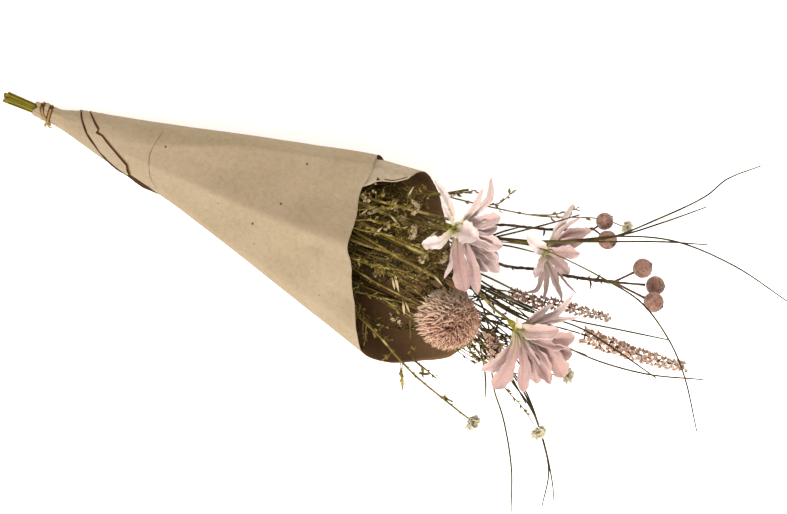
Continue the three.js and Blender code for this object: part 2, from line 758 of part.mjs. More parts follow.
const SPRIGS = [
  {
    cut: 4.5,
    place: groove(90),
    mouth: [MOUTH_X, 10, 88],
    onward: [[322, 14, 87], [345, 15, 84], SPRIG_ENDS.mouth],
    radii: THIN_RADII,
    twigs: [
      [[269.9, 8.2, 79.3], [300, 26, 84], SPRIG_ENDS.inner],
      [[284.8, 8.7, 83.8], [308, 20, 86], SPRIG_ENDS.middle],
      [[262, 7.9, 77], [296, -12, 82], [326, -12, 86], [342, -8, 86]],
    ],
    leaves: [[0.78, 1, 9], [0.25, 1, 8], [0.25, 1, 6], [0.25, 1, 7]],
  },
  {
    cut: 5.5,
    place: groove(330),
    mouth: [MOUTH_X, 52, 44],
    onward: [[345, 59, 48], [391, 66, 50], [430, 74, 44], [478, 91, 41], SPRIG_ENDS.upper],
    radii: THIN_RADII,
    twigs: [
      [[340, 58, 47.6], [360, 64, 56], [377, 74, 60]],
      [[380, 64, 50], [397, 71, 56], [405, 86, 60]],
      [[425, 73, 45], [440, 79, 47], [457, 91, 48]],
      [[300, 51, 44], [322, 56, 58], [340, 60, 64]],
    ],
    leaves: [[0.62, 0.98, 8], [0.3, 1, 5], [0.3, 1, 4], [0.4, 1, 4], [0.3, 1, 5]],
  },
  {
    cut: 2,
    place: thick(240),
    mouth: [MOUTH_X, -30, 32],
    onward: [[340, -34, 36], [372, -36, 37], [405, -38, 37]],
    radii: STEM_RADII,
    twigs: [
      [[300, -29.6, 32], [322, -36, 48], [340, -34, 54], [356, -38, 56]],
      [[310, -31, 33], [332, -52, 44], [345, -62, 40]],
      [[240, -22.5, 26.2], [290, -6, 34], [330, -4, 38], [360, -3, 38]],
      [[365, -35.8, 37], [372, -52, 30], [381, -69, 34], [403, -76, 36]],
      [[395, -37.6, 37], [428, -44, 40], [445, -52, 45], [458, -63, 49], [475, -71, 51],
        SPRIG_ENDS.lower],
      [[428, -44, 40], [455, -50, 52], [480, -42, 62], SPRIG_ENDS.raised],
    ],
    leaves: [
      [0.75, 0.98, 4], [0.3, 1, 6], [0.4, 1, 5], [0.35, 1, 8], [0.4, 1, 3], [0.55, 0.9, 5],
      [0.5, 0.9, 2],
    ],
  },
];

function leavesAlong(line, [start, end, count], seed) {
  const curve = curveThrough(line);
  const random = seeded(seed);
  const leaves = [];
  for (let i = 0; i < count; i++) {
    const t = start + ((end - start) * (i + 0.5)) / count;
    const centre = curve.getPointAt(t);
    const ahead = curve.getTangentAt(t);
    const [u, v] = squareTo(ahead);
    const turn = i * 2.4 + random();
    const out = u.clone().multiplyScalar(Math.cos(turn)).addScaledVector(v, Math.sin(turn));
    const tip = centre.clone().addScaledVector(out, 3.2 + 1.8 * random())
      .addScaledVector(ahead, 3 + 2 * random());
    leaves.push(spindle(centre, tip, 1.3, 4, 0.55, 0.5));
  }
  return leaves;
}

function sprig(data, number) {
  const line = stemLine(data.cut, data.place, data.mouth, data.onward);
  const lines = [line, ...data.twigs];
  const parts = [rod(line, data.radii, 5, 20)];
  data.twigs.forEach((twig) => parts.push(rod(twig, [0.6, 0.5, 0.4], 3, 16)));
  lines.forEach((points, i) => parts.push(...leavesAlong(points, data.leaves[i], 90 + 7 * number + i)));
  add(`leafy_sprig_${number}`, fuse(parts), 'leaf');
}

SPRIGS.forEach((data, i) => sprig(data, i + 1));

// The cream flower that hangs over the paper's lower edge has a stem of its own

const CREAM_LINE = [[327, -54, 50], [348, -62, 48], [368, -72, 47], [388, -81, 44], [420, -91, 38]];
const CREAM_END = [440.6, -96.9, 34.3];

function creamStem() {
  const line = stemLine(3.5, groove(210), [300, -45, 50], [...CREAM_LINE, CREAM_END]);
  const parts = [rod(line, THIN_RADII, 5, 20)];
  const leaves = [
    [[372, -73.6, 46.4], [379, -88, 42]],
    [[374, -74.4, 46.2], [383, -96, 38]],
    [[385, -79.5, 44.5], [398, -76, 47]],
    [[410, -88, 40], [422, -89, 44]],
    [[364, -70, 47], [360, -78, 45]],
  ];
  for (const [root, tip] of leaves) parts.push(spindle(root, tip, 1.5, 4, 0.5, 0.5));
  add('cream_stem', fuse(parts), 'stem');
}

creamStem();

// Small flowers: petals round a bud, at the end of a stem or twig

function smallFlower(stemEnd, facing, reach, petals, seed) {
  const axis = vec(facing).normalize();
  const foot = vec(stemEnd).addScaledVector(axis, GAP);
  const heart = foot.clone().addScaledVector(axis, reach * 0.45);
  const [u, v] = squareTo(axis);
  const random = seeded(seed);
  const parts = [spindle(foot, heart.clone().addScaledVector(axis, reach * 0.8), reach * 0.36, 5)];
  for (let k = 0; k < petals; k++) {
    const turn = (2 * Math.PI * (k + 0.4 * random())) / petals;
    const out = u.clone().multiplyScalar(Math.cos(turn)).addScaledVector(v, Math.sin(turn));
    const lift = k % 2 ? 0.75 : 0.3;
    const tip = heart.clone().addScaledVector(out, reach * (0.85 + 0.3 * random()))
      .addScaledVector(axis, reach * lift);
    const root = heart.clone().addScaledVector(out, reach * 0.1);
    parts.push(spindle(root, tip, reach * 0.26, 4, 0.6, 0.5));
  }
  return fuse(parts);
}

const SMALL_FLOWERS = [
  ['cream_flower_1', CREAM_END, [0.94, -0.32, -0.19], 7.5, 7, 'cream'],
  ['cream_flower_2', SPRIG_ENDS.lower, [0.79, -0.6, 0.09], 7.5, 7, 'cream'],
  ['cream_flower_3', SPRIG_ENDS.raised, [0.88, 0.37, 0.29], 6.5, 6, 'cream'],
  ['cream_flower_4', SPRIG_ENDS.upper, [0.95, 0.08, 0.3], 6, 6, 'cream'],
  ['white_flower_1', SPRIG_ENDS.middle, [1, 0.06, 0], 7, 7, 'white'],
  ['white_flower_2', SPRIG_ENDS.mouth, [0.96, 0, -0.27], 6, 6, 'white'],
  ['white_flower_3', SPRIG_ENDS.inner, [0.94, 0.34, 0], 6.5, 7, 'white'],
];

SMALL_FLOWERS.forEach(([name, stemEnd, facing, reach, petals, finish], i) => {
  add(name, smallFlower(stemEnd, facing, reach, petals, 60 + i), finish);
});

bouquet.position.set(-REST[0], -REST[1], 0);

export default bouquet;
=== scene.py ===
"""Looks of a mixed flower bouquet lying in a rolled cone of kraft paper.

The tables are in millimetres in the frame the bouquet was drawn in: X = 0 at the cut stems,
+X to the flowers, +Y to the upper side, Z = 0 the surface. metres() turns them into metres in
the model's frame, whose origin is on the flat that the wrapper rests on. A point picked in the
photograph is written as seen(pixel, pixel, height), with a height that is a guess.
"""

import math

import bpy
import numpy as np
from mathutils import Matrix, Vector


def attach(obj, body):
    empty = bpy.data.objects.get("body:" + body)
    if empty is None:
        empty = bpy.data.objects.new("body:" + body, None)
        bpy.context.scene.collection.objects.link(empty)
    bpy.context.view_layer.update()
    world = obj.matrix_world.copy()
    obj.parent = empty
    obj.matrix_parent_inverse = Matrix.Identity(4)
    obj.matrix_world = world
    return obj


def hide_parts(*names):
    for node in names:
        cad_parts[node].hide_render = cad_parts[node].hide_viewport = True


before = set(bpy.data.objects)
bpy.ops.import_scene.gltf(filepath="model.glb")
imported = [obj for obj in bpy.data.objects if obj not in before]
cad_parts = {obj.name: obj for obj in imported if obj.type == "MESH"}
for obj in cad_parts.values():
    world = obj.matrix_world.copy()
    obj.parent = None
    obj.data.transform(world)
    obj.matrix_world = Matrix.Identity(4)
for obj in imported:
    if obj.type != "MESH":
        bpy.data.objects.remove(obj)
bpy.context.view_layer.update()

REST = np.array([210.0, 3.0, 0.0])  # the flat under the wrapper
LIGHT = 2.45  # how much light falls on a surface that faces up; colours are divided by it


MM_PER_PIXEL = 0.8  # at the height FLOWERS_Z
PHOTO_COS, PHOTO_SIN = 0.925, 0.379  # how the bouquet is turned in the photograph
CUT_PIXEL = (4, 98)  # where the photograph shows X = 0, Y = 0
EYE_X, EYE_Y, FLOWERS_Z, EYE_DISTANCE = 336.0, 0.0, 35, 4370.0  # the camera, over the flowers


def metres(points):
    return (np.asarray(points, float) - REST) * 0.001


def seen(px, py, z):
    """The point at height z that the photograph shows at this pixel, to 0.1 mm."""
    right, down = px - CUT_PIXEL[0], py - CUT_PIXEL[1]
    x = MM_PER_PIXEL * (PHOTO_COS * right + PHOTO_SIN * down)
    y = MM_PER_PIXEL * (PHOTO_SIN * right - PHOTO_COS * down)
    nearer = (EYE_DISTANCE - (z - FLOWERS_Z)) / EYE_DISTANCE
    return [round(EYE_X + (x - EYE_X) * nearer, 1), round(EYE_Y + (y - EYE_Y) * nearer, 1), z]


# Numbers and lines


def unit(v):
    v = np.asarray(v, float)
    return v / np.maximum(np.linalg.norm(v, axis=-1, keepdims=True), 1e-9)


def hump(x, width):
    """1 at x = 0, falling to nothing a few widths away."""
    return np.exp(-((x / width) ** 2))


def climb(x, start, span):
    """0 up to start, then rising to 1 within span."""
    return np.clip((x - start) / span, 0, 1)


def even(value):
    return lambda t: value + 0 * t


def linear(values):
    """A function of the share t, through values spread evenly from 0 to 1."""
    places = np.linspace(0, 1, len(values))
    return lambda t: np.interp(t, places, values)


def spread(values):
    """The same as linear, along a smooth line."""
    places = np.linspace(0, 1, len(values))
    return lambda t: smooth(places, values, t)


def smooth(xs, ys, x):
    """A smooth line through (xs, ys) that never overshoots."""
    xs, ys = np.asarray(xs, float), np.asarray(ys, float)
    if xs[0] > xs[-1]:
        xs, ys = xs[::-1], ys[::-1]
    h = np.diff(xs)
    d = np.diff(ys) / h
    m = np.zeros_like(ys)
    m[0], m[-1] = d[0], d[-1]
    for i in range(1, len(xs) - 1):
        if d[i - 1] * d[i] > 0:
            w1, w2 = 2 * h[i] + h[i - 1], h[i] + 2 * h[i - 1]
            m[i] = (w1 + w2) / (w1 / d[i - 1] + w2 / d[i])
    x = np.clip(np.asarray(x, float), xs[0], xs[-1])
    i = np.clip(np.searchsorted(xs, x) - 1, 0, len(h) - 1)
    t = (x - xs[i]) / h[i]
    left = (1 + 2 * t) * (1 - t) ** 2 * ys[i] + t * (1 - t) ** 2 * h[i] * m[i]
    right = t * t * (3 - 2 * t) * ys[i + 1] + t * t * (t - 1) * h[i] * m[i + 1]
    return left + right


def column(table, x, k=1):
    """Column k of a table at x, which is its first column."""
    rows = np.array(table, float)
    return smooth(rows[:, 0], rows[:, k], x)


class Line:
    """A smooth line through points, read by the share of its length."""

    def __init__(self, points, closed=False, per=16):
        p = np.asarray(points, float)
        n = len(p)

        def get(i):
            if closed:
                return p[i % n]
            if i < 0:
                return 2 * p[0] - p[1]
            return p[i] if i < n else 2 * p[-1] - p[-2]

        u = np.linspace(0, 1, per, endpoint=False)[:, None]
        out = []
        for i in range(n if closed else n - 1):
            a, b, c, d = (get(i + k) for k in (-1, 0, 1, 2))
            da, db, dc = (
                max(np.linalg.norm(q - r) ** 0.5, 1e-3) for q, r in ((b, a), (c, b), (d, c))
            )
            t1 = ((b - a) / da - (c - a) / (da + db) + (c - b) / db) * db
            t2 = ((c - b) / db - (d - b) / (db + dc) + (d - c) / dc) * db
            out.append(
                (2 * u**3 - 3 * u**2 + 1) * b
                + (u**3 - 2 * u**2 + u) * t1
                + (3 * u**2 - 2 * u**3) * c
                + (u**3 - u**2) * t2
            )
        out.append((p[0] if closed else p[-1])[None])
        self.points = np.concatenate(out)
        steps = np.linalg.norm(np.diff(self.points, axis=0), axis=1)
        self.reach = np.concatenate([[0], np.cumsum(steps)])
        self.length = float(self.reach[-1])

    def at(self, t):
        s = np.asarray(t, float) * self.length
        return np.stack([np.interp(s, self.reach, self.points[:, k]) for k in range(3)], -1)

    def ahead(self, t):
        e = min(0.02, 0.6 / self.length)
        t = np.asarray(t, float)
        return unit(self.at(np.minimum(t + e, 1)) - self.at(np.maximum(t - e, 0)))

    def frames(self, t, first=None):
        """Middle, direction and two side vectors that don't twist."""
        c, f = self.at(t), self.ahead(t)
        n = np.zeros_like(c)
        side = np.array(first if first is not None else (0.0, 0.0, 1.0))
        if abs(np.dot(side, f[0])) > 0.95:
            side = np.array([0.0, 1.0, 0.0])
        for i in range(len(c)):
            side = side - np.dot(side, f[i]) * f[i]
            side = side / max(np.linalg.norm(side), 1e-9)
            n[i] = side
        return c, f, n, np.cross(f, n)


def square_to(direction):
    """Two directions square to this one and to each other."""
    f = unit(direction)
    start = np.array([0.0, 0.0, 1.0]) if abs(f[2]) < 0.9 else np.array([1.0, 0.0, 0.0])
    u = unit(np.cross(start, f))
    return u, np.cross(f, u)


def turned(u, v, a):
    """The direction at angle a in the plane of u and v."""
    return u * math.cos(a) + v * math.sin(a)


def of_number(table, number):
    """The rows of a table that start with this number, without it."""
    return [row[1:] for row in table if row[0] == number]


# Forms


def grid_faces(rows, columns, wrap=False):
    """Four-sided faces of a grid of points; wrap joins its last column to its first."""
    r = np.arange(rows - 1)[:, None]
    c = np.arange(columns if wrap else columns - 1)[None, :]
    a, b = r * columns + c, r * columns + (c + 1) % columns
    return np.stack([a, b, b + columns, a + columns], -1).reshape(-1, 4)


def ball_faces(rows, columns):
    """Faces of a ball of rings from pole to pole, whose last two points are the poles."""
    k = np.arange(columns)
    nxt, total, last = (k + 1) % columns, rows * columns, (rows - 1) * columns
    return [grid_faces(rows, columns, True)[:, ::-1],
            np.stack([np.full(columns, total), k, nxt], -1),
            np.stack([np.full(columns, total + 1), last + nxt, last + k], -1)]


class Form:
    """Points and faces gathered for one piece, and the shares that its material reads."""

    def __init__(self):
        self.points, self.faces, self.shares, self.slots, self.count = [], [], [], [], 0

    def add(self, points, faces, along=0.0, across=0.0, tint=0.5, extra=0.0, slot=0):
        points = np.asarray(points, float).reshape(-1, 3)
        n = len(points)
        shares = np.empty((n, 4))
        for k, v in enumerate((along, across, tint, extra)):
            shares[:, k] = np.broadcast_to(np.asarray(v, float).reshape(-1), n)
        self.points.append(points)
        self.shares.append(shares)
        for group in faces if isinstance(faces, list) else [faces]:
            self.faces.append(np.asarray(group) + self.count)
            self.slots.append(np.full(len(group), slot))
        self.count += n

    def make(self, name, materials, slot, nodes):
        points = metres(np.concatenate(self.points))
        faces = [f for group in self.faces for f in group.tolist()]
        mesh = bpy.data.meshes.new(name)
        mesh.from_pydata(points.tolist(), [], faces)
        shares = np.concatenate(self.shares).astype(np.float32)
        for k, label in enumerate(("along", "across", "tint", "extra")):
            layer = mesh.attributes.new(label, "FLOAT", "POINT")
            layer.data.foreach_set("value", np.ascontiguousarray(shares[:, k]))
        for m in materials:
            mesh.materials.append(m)
        mesh.polygons.foreach_set("material_index", np.concatenate(self.slots).astype(np.int32))
        mesh.polygons.foreach_set("use_smooth", np.ones(len(faces), bool))
        mesh.update()
        piece = bpy.data.objects.new(name, mesh)
        bpy.context.scene.collection.objects.link(piece)
        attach(piece, "root")
        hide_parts(*nodes)
        return piece


def tube(form, line, radius, sides=8, step=2.0, flat=1.0, ribs=0, rib_depth=0.0, first=None,
         tint=0.5, slot=0, wobble=None):
    """A rod along a line. radius is a function of t; flat squashes it; ribs run along it."""
    rows = max(3, int(line.length / step) + 1)
    t = np.linspace(0, 1, rows)
    c, _, n, b = line.frames(t, first)
    turn = np.linspace(0, 2 * np.pi, sides, endpoint=False)
    r = np.asarray(radius(t))[:, None] * np.ones(sides)[None]
    if ribs:
        r = r * (1 + rib_depth * np.cos(ribs * turn)[None])
    if wobble is not None:
        r = r * wobble(t[:, None] * line.length, turn[None])
    x, y = r * np.cos(turn), r * np.sin(turn) * flat
    points = c[:, None] + n[:, None] * x[..., None] + b[:, None] * y[..., None]
    k = np.arange(sides)
    nxt, total, last = (k + 1) % sides, rows * sides, (rows - 1) * sides
    faces = [grid_faces(rows, sides, True), np.stack([np.full(sides, total), nxt, k], -1),
             np.stack([np.full(sides, total + 1), last + k, last + nxt], -1)]
    form.add(np.concatenate([points.reshape(-1, 3), c[:1], c[-1:]]), faces,
             np.concatenate([np.repeat(t, sides), [0, 1]]),
             np.concatenate([np.tile(turn / np.pi - 1, rows), [0, 0]]), tint, slot=slot)


def shell(form, top, bottom, along, across, tint=0.5, extra=0.0, slot=0):
    """A thin closed sheet between two grids of points."""
    rows, cols = top.shape[:2]
    n = rows * cols
    index = np.arange(n).reshape(rows, cols)
    loop = np.concatenate([index[0, :-1], index[:-1, -1], index[-1, :0:-1], index[:0:-1, 0]])
    nxt = np.roll(loop, -1)
    grid = grid_faces(rows, cols)
    faces = np.concatenate([grid, grid[:, ::-1] + n, np.stack([nxt, loop, loop + n, nxt + n], -1)])
    points = np.concatenate([top.reshape(-1, 3), bottom.reshape(-1, 3)])
    form.add(points, faces, np.tile(np.ravel(along), 2), np.tile(np.ravel(across), 2),
             tint, extra, slot)


def petal(form, points, widths, face, rows=20, cols=9, cup=0.3, thick=0.35, ruffle=0.0,
          groove=0.25, tint=0.5, phase=0.0, slot=0, twist=0.0, tip_curl=0.0, pleat=0.0):
    """A petal along a line: cupped across, grooved at its midrib, pleated and ruffled."""
    line = Line(points)
    t = np.linspace(0, 1, rows) ** 0.85
    c, f = line.at(t), line.ahead(t)
    side = unit(np.cross(f, np.asarray(face, float)[None]))
    normal = np.cross(side, f)
    a = (twist * t)[:, None]
    side, normal = side * np.cos(a) + normal * np.sin(a), normal * np.cos(a) - side * np.sin(a)
    half = widths(t)
    s = np.linspace(-1, 1, cols)
    wave = 2 * np.pi * (t[:, None] + phase)
    edge = 1 + ruffle * 0.07 * np.abs(s)[None] * (
        np.sin(2.3 * wave + 2.1 * np.sign(s)) + 0.6 * np.sin(6.1 * wave - 1.3 * np.sign(s)))
    lift = cup * half[:, None] * (s**2)[None]
    lift = lift - (groove * hump(s, 0.22))[None] * np.minimum(half, 3)[:, None] * 0.35
    folds = np.sin(4.6 * s + 5 * phase)[None] + 0.35 * np.sin(11 * s + 9 * phase + 2 * t[:, None])
    lift = lift + pleat * folds * (np.sin(np.pi * np.clip(t, 0, 1)) ** 0.5)[:, None]
    waves = np.sin(1.6 * wave + 1.9 * np.sign(s)) + 0.5 * np.sin(3.7 * wave - s[None])
    lift = lift + ruffle * waves * (np.abs(s) ** 2.5)[None] * np.minimum(half, 5)[:, None] * 0.2
    lift = lift - tip_curl * (np.maximum(t - 0.7, 0) ** 2)[:, None] * 10
    mid = c[:, None] + side[:, None] * (half[:, None] * s[None] * edge)[..., None]
    mid = mid + normal[:, None] * lift[..., None]
    body = thick * (1 - 0.6 * np.abs(s) ** 3)[None] * np.minimum(1, 1.2 - t * 0.7)[:, None]
    top = mid + normal[:, None] * (body / 2)[..., None]
    bottom = mid - normal[:, None] * (body / 2)[..., None]
    shell(form, top, bottom, np.repeat(t, cols), np.tile(s, rows), tint, phase, slot)


LEAF_WIDTH = spread([0.12, 0.75, 1.0, 0.72, 0.08])
LEAF_CUP, LEAF_THICK, LEAF_GROOVE, LEAST_WIDTH = 0.35, 0.25, 0.3, 0.12
BUD_WIDTH = spread([0.25, 0.85, 1.0, 0.8, 0.15])


def leaf(form, root, tip, half, face, curl=0.0, tint=0.5, slot=0, rows=6, cols=3):
    root, tip = np.asarray(root, float), np.asarray(tip, float)
    bend = unit(face) * curl * np.linalg.norm(tip - root)
    petal(form, [root, (root + tip) / 2 + bend, tip],
          lambda t: np.maximum(LEAF_WIDTH(t) * half, LEAST_WIDTH), face, rows, cols, LEAF_CUP,
          LEAF_THICK, 0.0, LEAF_GROOVE, tint, tint * 7, slot)


def bud(form, root, tip, radius, tint=0.5, sides=6, rows=6, slot=0):
    """A small closed drop, such as a bud or a knob."""
    line = Line([root, (np.asarray(root, float) + tip) / 2, tip], per=4)
    tube(form, line, lambda t: radius * BUD_WIDTH(t), sides, line.length / rows, tint=tint,
         slot=slot)


# Materials


def rgb(*seen):
    """A colour as seen fully lit, 0 to 255 each, as the surface's own linear colour."""
    out = []
    for v in seen:
        v = v / 255
        v = v / 12.92 if v <= 0.04045 else ((v + 0.055) / 1.055) ** 2.4
        out.append(min(v / LIGHT, 0.95))
    return (*out, 1.0)


class Paint:
    """One material, built node by node."""

    def __init__(self, name, **sockets):
        self.material = bpy.data.materials.new(name)
        self.material.use_nodes = True
        self.tree = self.material.node_tree
        self.surface = next(n for n in self.tree.nodes if n.type == "BSDF_PRINCIPLED")
        for label, value in sockets.items():
            self.surface.inputs[label.replace("_", " ")].default_value = value

    def node(self, kind, inputs=(), **settings):
        made = self.tree.nodes.new(kind)
        for label, value in settings.items():
            setattr(made, label, value)
        for key, value in dict(inputs).items():
            if isinstance(value, bpy.types.NodeSocket):
                self.tree.links.new(value, made.inputs[key])
            else:
                made.inputs[key].default_value = value
        return made

    def share(self, name):
        return self.node("ShaderNodeAttribute", attribute_name=name).outputs["Fac"]

    def place(self, scale=(1, 1, 1)):
        spot = self.node("ShaderNodeTexCoord").outputs["Object"]
        return self.node("ShaderNodeMapping", {"Vector": spot, "Scale": scale}).outputs["Vector"]

    def grain(self, scale, detail=3.0, rough=0.55, at=None):
        inputs = {"Scale": scale, "Detail": detail, "Roughness": rough}
        inputs["Vector"] = at if at is not None else self.place()
        return self.node("ShaderNodeTexNoise", inputs).outputs["Fac"]

    def cells(self, scale):
        inputs = {"Scale": scale, "Vector": self.place()}
        return self.node("ShaderNodeTexVoronoi", inputs).outputs["Distance"]

    def join(self, x, y, z=0.0):
        return self.node("ShaderNodeCombineXYZ", {"X": x, "Y": y, "Z": z}).outputs["Vector"]

    def math(self, operation, a, b=0.0, c=0.0):
        return self.node("ShaderNodeMath", {0: a, 1: b, 2: c}, operation=operation).outputs[0]

    def times(self, a, b):
        return self.math("MULTIPLY", a, b)

    def plus(self, a, b):
        return self.math("ADD", a, b)

    def fit(self, value, low, high, to_low=0.0, to_high=1.0):
        return self.node("ShaderNodeMapRange", {
            "Value": value, "From Min": low, "From Max": high, "To Min": to_low,
            "To Max": to_high}).outputs["Result"]

    def mix(self, factor, a, b, blend="MIX"):
        made = self.node("ShaderNodeMix", {0: factor, 6: a, 7: b}, data_type="RGBA",
                         blend_type=blend)
        return made.outputs[2]

    def ramp(self, value, *stops):
        made = self.node("ShaderNodeValToRGB", {"Fac": value})
        bar = made.color_ramp
        while len(bar.elements) < len(stops):
            bar.elements.new(0.5)
        for element, (position, colour) in zip(bar.elements, stops):
            element.position = position
            element.color = colour
        return made.outputs["Color"]

    def bump(self, height, distance, strength=1.0, normal=None):
        inputs = {"Height": height, "Distance": distance, "Strength": strength}
        if normal is not None:
            inputs["Normal"] = normal
        return self.node("ShaderNodeBump", inputs).outputs["Normal"]

    def wear(self, colour, normal, roughness):
        for value, socket in ((colour, "Base Color"), (normal, "Normal"),
                              (roughness, "Roughness")):
            self.tree.links.new(value, self.surface.inputs[socket])
        return self.material


# Dark specks on the paper, the strong ones first
SPECKS = [seen(306, 164, 80), seen(280, 204, 78), seen(252, 224, 60), seen(165, 147, 42),
          seen(217.8, 203.8, 45), seen(253.6, 243.9, 48), seen(318.6, 295.5, 60)]
STRONG_SPECKS = 4


def kraft_paper():
    p = Paint("kraft_paper", Specular_IOR_Level=0.08)
    cloud = p.grain(22, 4, 0.6)
    fine = p.grain(900, 3, 0.7)
    mottle = p.grain(260, 4, 0.75)
    fibre_a = p.grain(420, 3, 0.65, p.place((1.0, 0.16, 0.3)))
    fibre_b = p.grain(460, 3, 0.65, p.place((0.18, 1.0, 0.3)))
    base = p.mix(p.fit(cloud, 0.35, 0.68), rgb(171, 151, 121), rgb(183, 164, 136))
    base = p.mix(p.fit(fine, 0.3, 0.7), base, p.mix(0.5, base, rgb(150, 126, 96)))
    base = p.mix(p.fit(mottle, 0.3, 0.7, 0, 0.5), base, rgb(200, 180, 150))
    base = p.mix(p.fit(mottle, 0.58, 0.72, 0, 0.3), base, rgb(150, 128, 100))
    base = p.mix(p.fit(fibre_a, 0.62, 0.74, 0, 0.4), base, rgb(144, 120, 92))
    base = p.mix(p.fit(fibre_b, 0.64, 0.76, 0, 0.35), base, rgb(218, 202, 176))
    tiny = p.fit(p.cells(330), 0.16, 0.06, 0, 0.5)
    base = p.mix(p.times(tiny, p.fit(p.grain(140, 2), 0.52, 0.62)), base,
                 rgb(126, 100, 76))
    spot = p.place((1, 1, 0))
    for k, at in enumerate(SPECKS):
        away = p.node("ShaderNodeVectorMath", {0: spot, 1: (*metres(at)[:2], 0.0)},
                      operation="DISTANCE").outputs["Value"]
        size, dark = (0.00095, 0.9) if k < STRONG_SPECKS else (0.0007, 0.45)
        base = p.mix(p.fit(away, size * 1.4, size * 0.6, 0, dark), base, rgb(84, 60, 40))
    # tint: -1 the pale flap, 0 the outside, 1 the inside in painted shade, 2 a gap in painted
    # shadow
    shade = p.share("tint")
    # painted shade: the inside of the sheet is darker
    base = p.mix(p.fit(shade, 0, 1), base, p.mix(1.0, base, (0.6, 0.43, 0.31, 1), "MULTIPLY"))
    # painted shade, deeper into the mouth and less towards its upper side
    deep = p.fit(p.share("along"), 3.95, 3.0)
    deep = p.times(deep, p.fit(shade, 0.5, 1))
    deep = p.times(deep, p.fit(p.share("across"), 0.42, 0.62, 1, 0.35))
    on_flap = p.fit(shade, 0, -1, 0, 0.85)
    pale = p.mix(p.fit(mottle, 0.3, 0.7), rgb(175, 157, 131), rgb(200, 184, 158))
    base = p.mix(on_flap, base, pale)
    base = p.mix(deep, base, p.mix(1.0, base, (0.5, 0.42, 0.3, 1), "MULTIPLY"))
    # painted shadow: tint 1 to 2 goes to near black in gaps, hollows and beside the twine
    base = p.mix(p.fit(shade, 1, 2), base, rgb(66, 38, 16))
    # painted shade along the fine crease, which itself is only a bump
    line = p.math("ABSOLUTE", p.share("extra"))
    crease = p.fit(line, 0.1, 0.65, 1, 0)
    crease_shade = p.times(crease, p.fit(p.grain(160, 2), 0.35, 0.6, 0.4, 0.85))
    base = p.mix(crease_shade, base, rgb(112, 84, 58))
    rough = p.plus(p.times(fine, 0.55), p.times(cloud, 1.8))
    rough = p.plus(rough, p.times(fibre_a, 0.6))
    rough = p.plus(rough, p.times(mottle, 0.7))
    normal = p.bump(rough, 0.00024, 0.85)
    normal = p.bump(crease, 0.0003, 0.6, normal)
    return p.wear(base, normal, p.fit(fine, 0.2, 0.8, 0.8, 0.95))


def petal_paint(name, light, mid, deep, base, throat=0.3, rim=rgb(250, 240, 232)):
    p = Paint(name, Specular_IOR_Level=0.1, Subsurface_Weight=0.1,
              Subsurface_Scale=0.002, Sheen_Weight=0.08, Sheen_Roughness=0.6)
    p.surface.inputs["Subsurface Radius"].default_value = (1.0, 0.7, 0.62)
    along, across, tint = p.share("along"), p.share("across"), p.share("tint")
    phase = p.share("extra")
    lanes = p.join(p.times(along, 1.3), p.times(across, 9.0),
                   p.times(phase, 5.0))
    veins = p.grain(1.9, 3, 0.6, lanes)
    wide = p.grain(0.7, 2, 0.5, lanes)
    body = p.mix(p.fit(veins, 0.3, 0.7, 0.2, 0.8), mid, light)
    # tint is the petal's tone: painted light towards 0, painted shade towards 1
    amount = p.fit(tint, 0, 0.6, 0.2, 1)
    body = p.mix(p.fit(tint, 0.25, 0, 0, 0.7), body, light)
    body = p.mix(p.times(p.fit(wide, 0.42, 0.66, 0, 0.6), amount), body, deep)
    blotch = p.fit(p.grain(70, 3, 0.6), 0.46, 0.66, 0, 0.5)
    body = p.mix(p.times(blotch, amount), body, deep)
    # paler edges: the petal's own pale rim with a painted highlight along it
    edge = p.fit(p.math("ABSOLUTE", across), 0.78, 0.97, 0, 0.95)
    frost = p.fit(p.grain(520, 3, 0.75), 0.34, 0.52)
    body = p.mix(p.times(edge, frost), body, rim)
    body = p.mix(p.fit(p.grain(300, 4, 0.7), 0.5, 0.68, 0, 0.35), body, deep)
    grit = p.grain(1050, 3, 0.8)
    body = p.mix(p.fit(grit, 0.5, 0.64, 0, 0.3), body, deep)
    body = p.mix(p.fit(grit, 0.46, 0.34, 0, 0.45), body, rim)
    # painted shade in the middle of the petal, darker towards its base
    heart = p.fit(p.math("ABSOLUTE", across), 0.0, 0.5, 1, 0)
    trough_shade = p.times(heart, p.fit(along, 0.15, 0.95, 0.65, 0.1))
    body = p.mix(p.times(trough_shade, amount), body, deep)
    shift = p.fit(tint, 0, 1, -0.06, 0.06)
    body = p.mix(p.fit(tint, 0.3, 1.0, 0, 0.85), body, deep)
    fade = p.fit(p.plus(along, shift), throat * 0.3, throat * 1.25, 1, 0)
    body = p.mix(p.times(fade, 0.9), body, base)
    powder = p.grain(900, 2, 0.6)
    body = p.mix(p.fit(powder, 0.35, 0.7, 0, 0.16), body, light)
    weave = p.plus(p.times(veins, 1.0), p.times(powder, 0.35))
    return p.wear(body, p.bump(weave, 0.00035, 0.7), p.fit(veins, 0.3, 0.7, 0.62, 0.78))


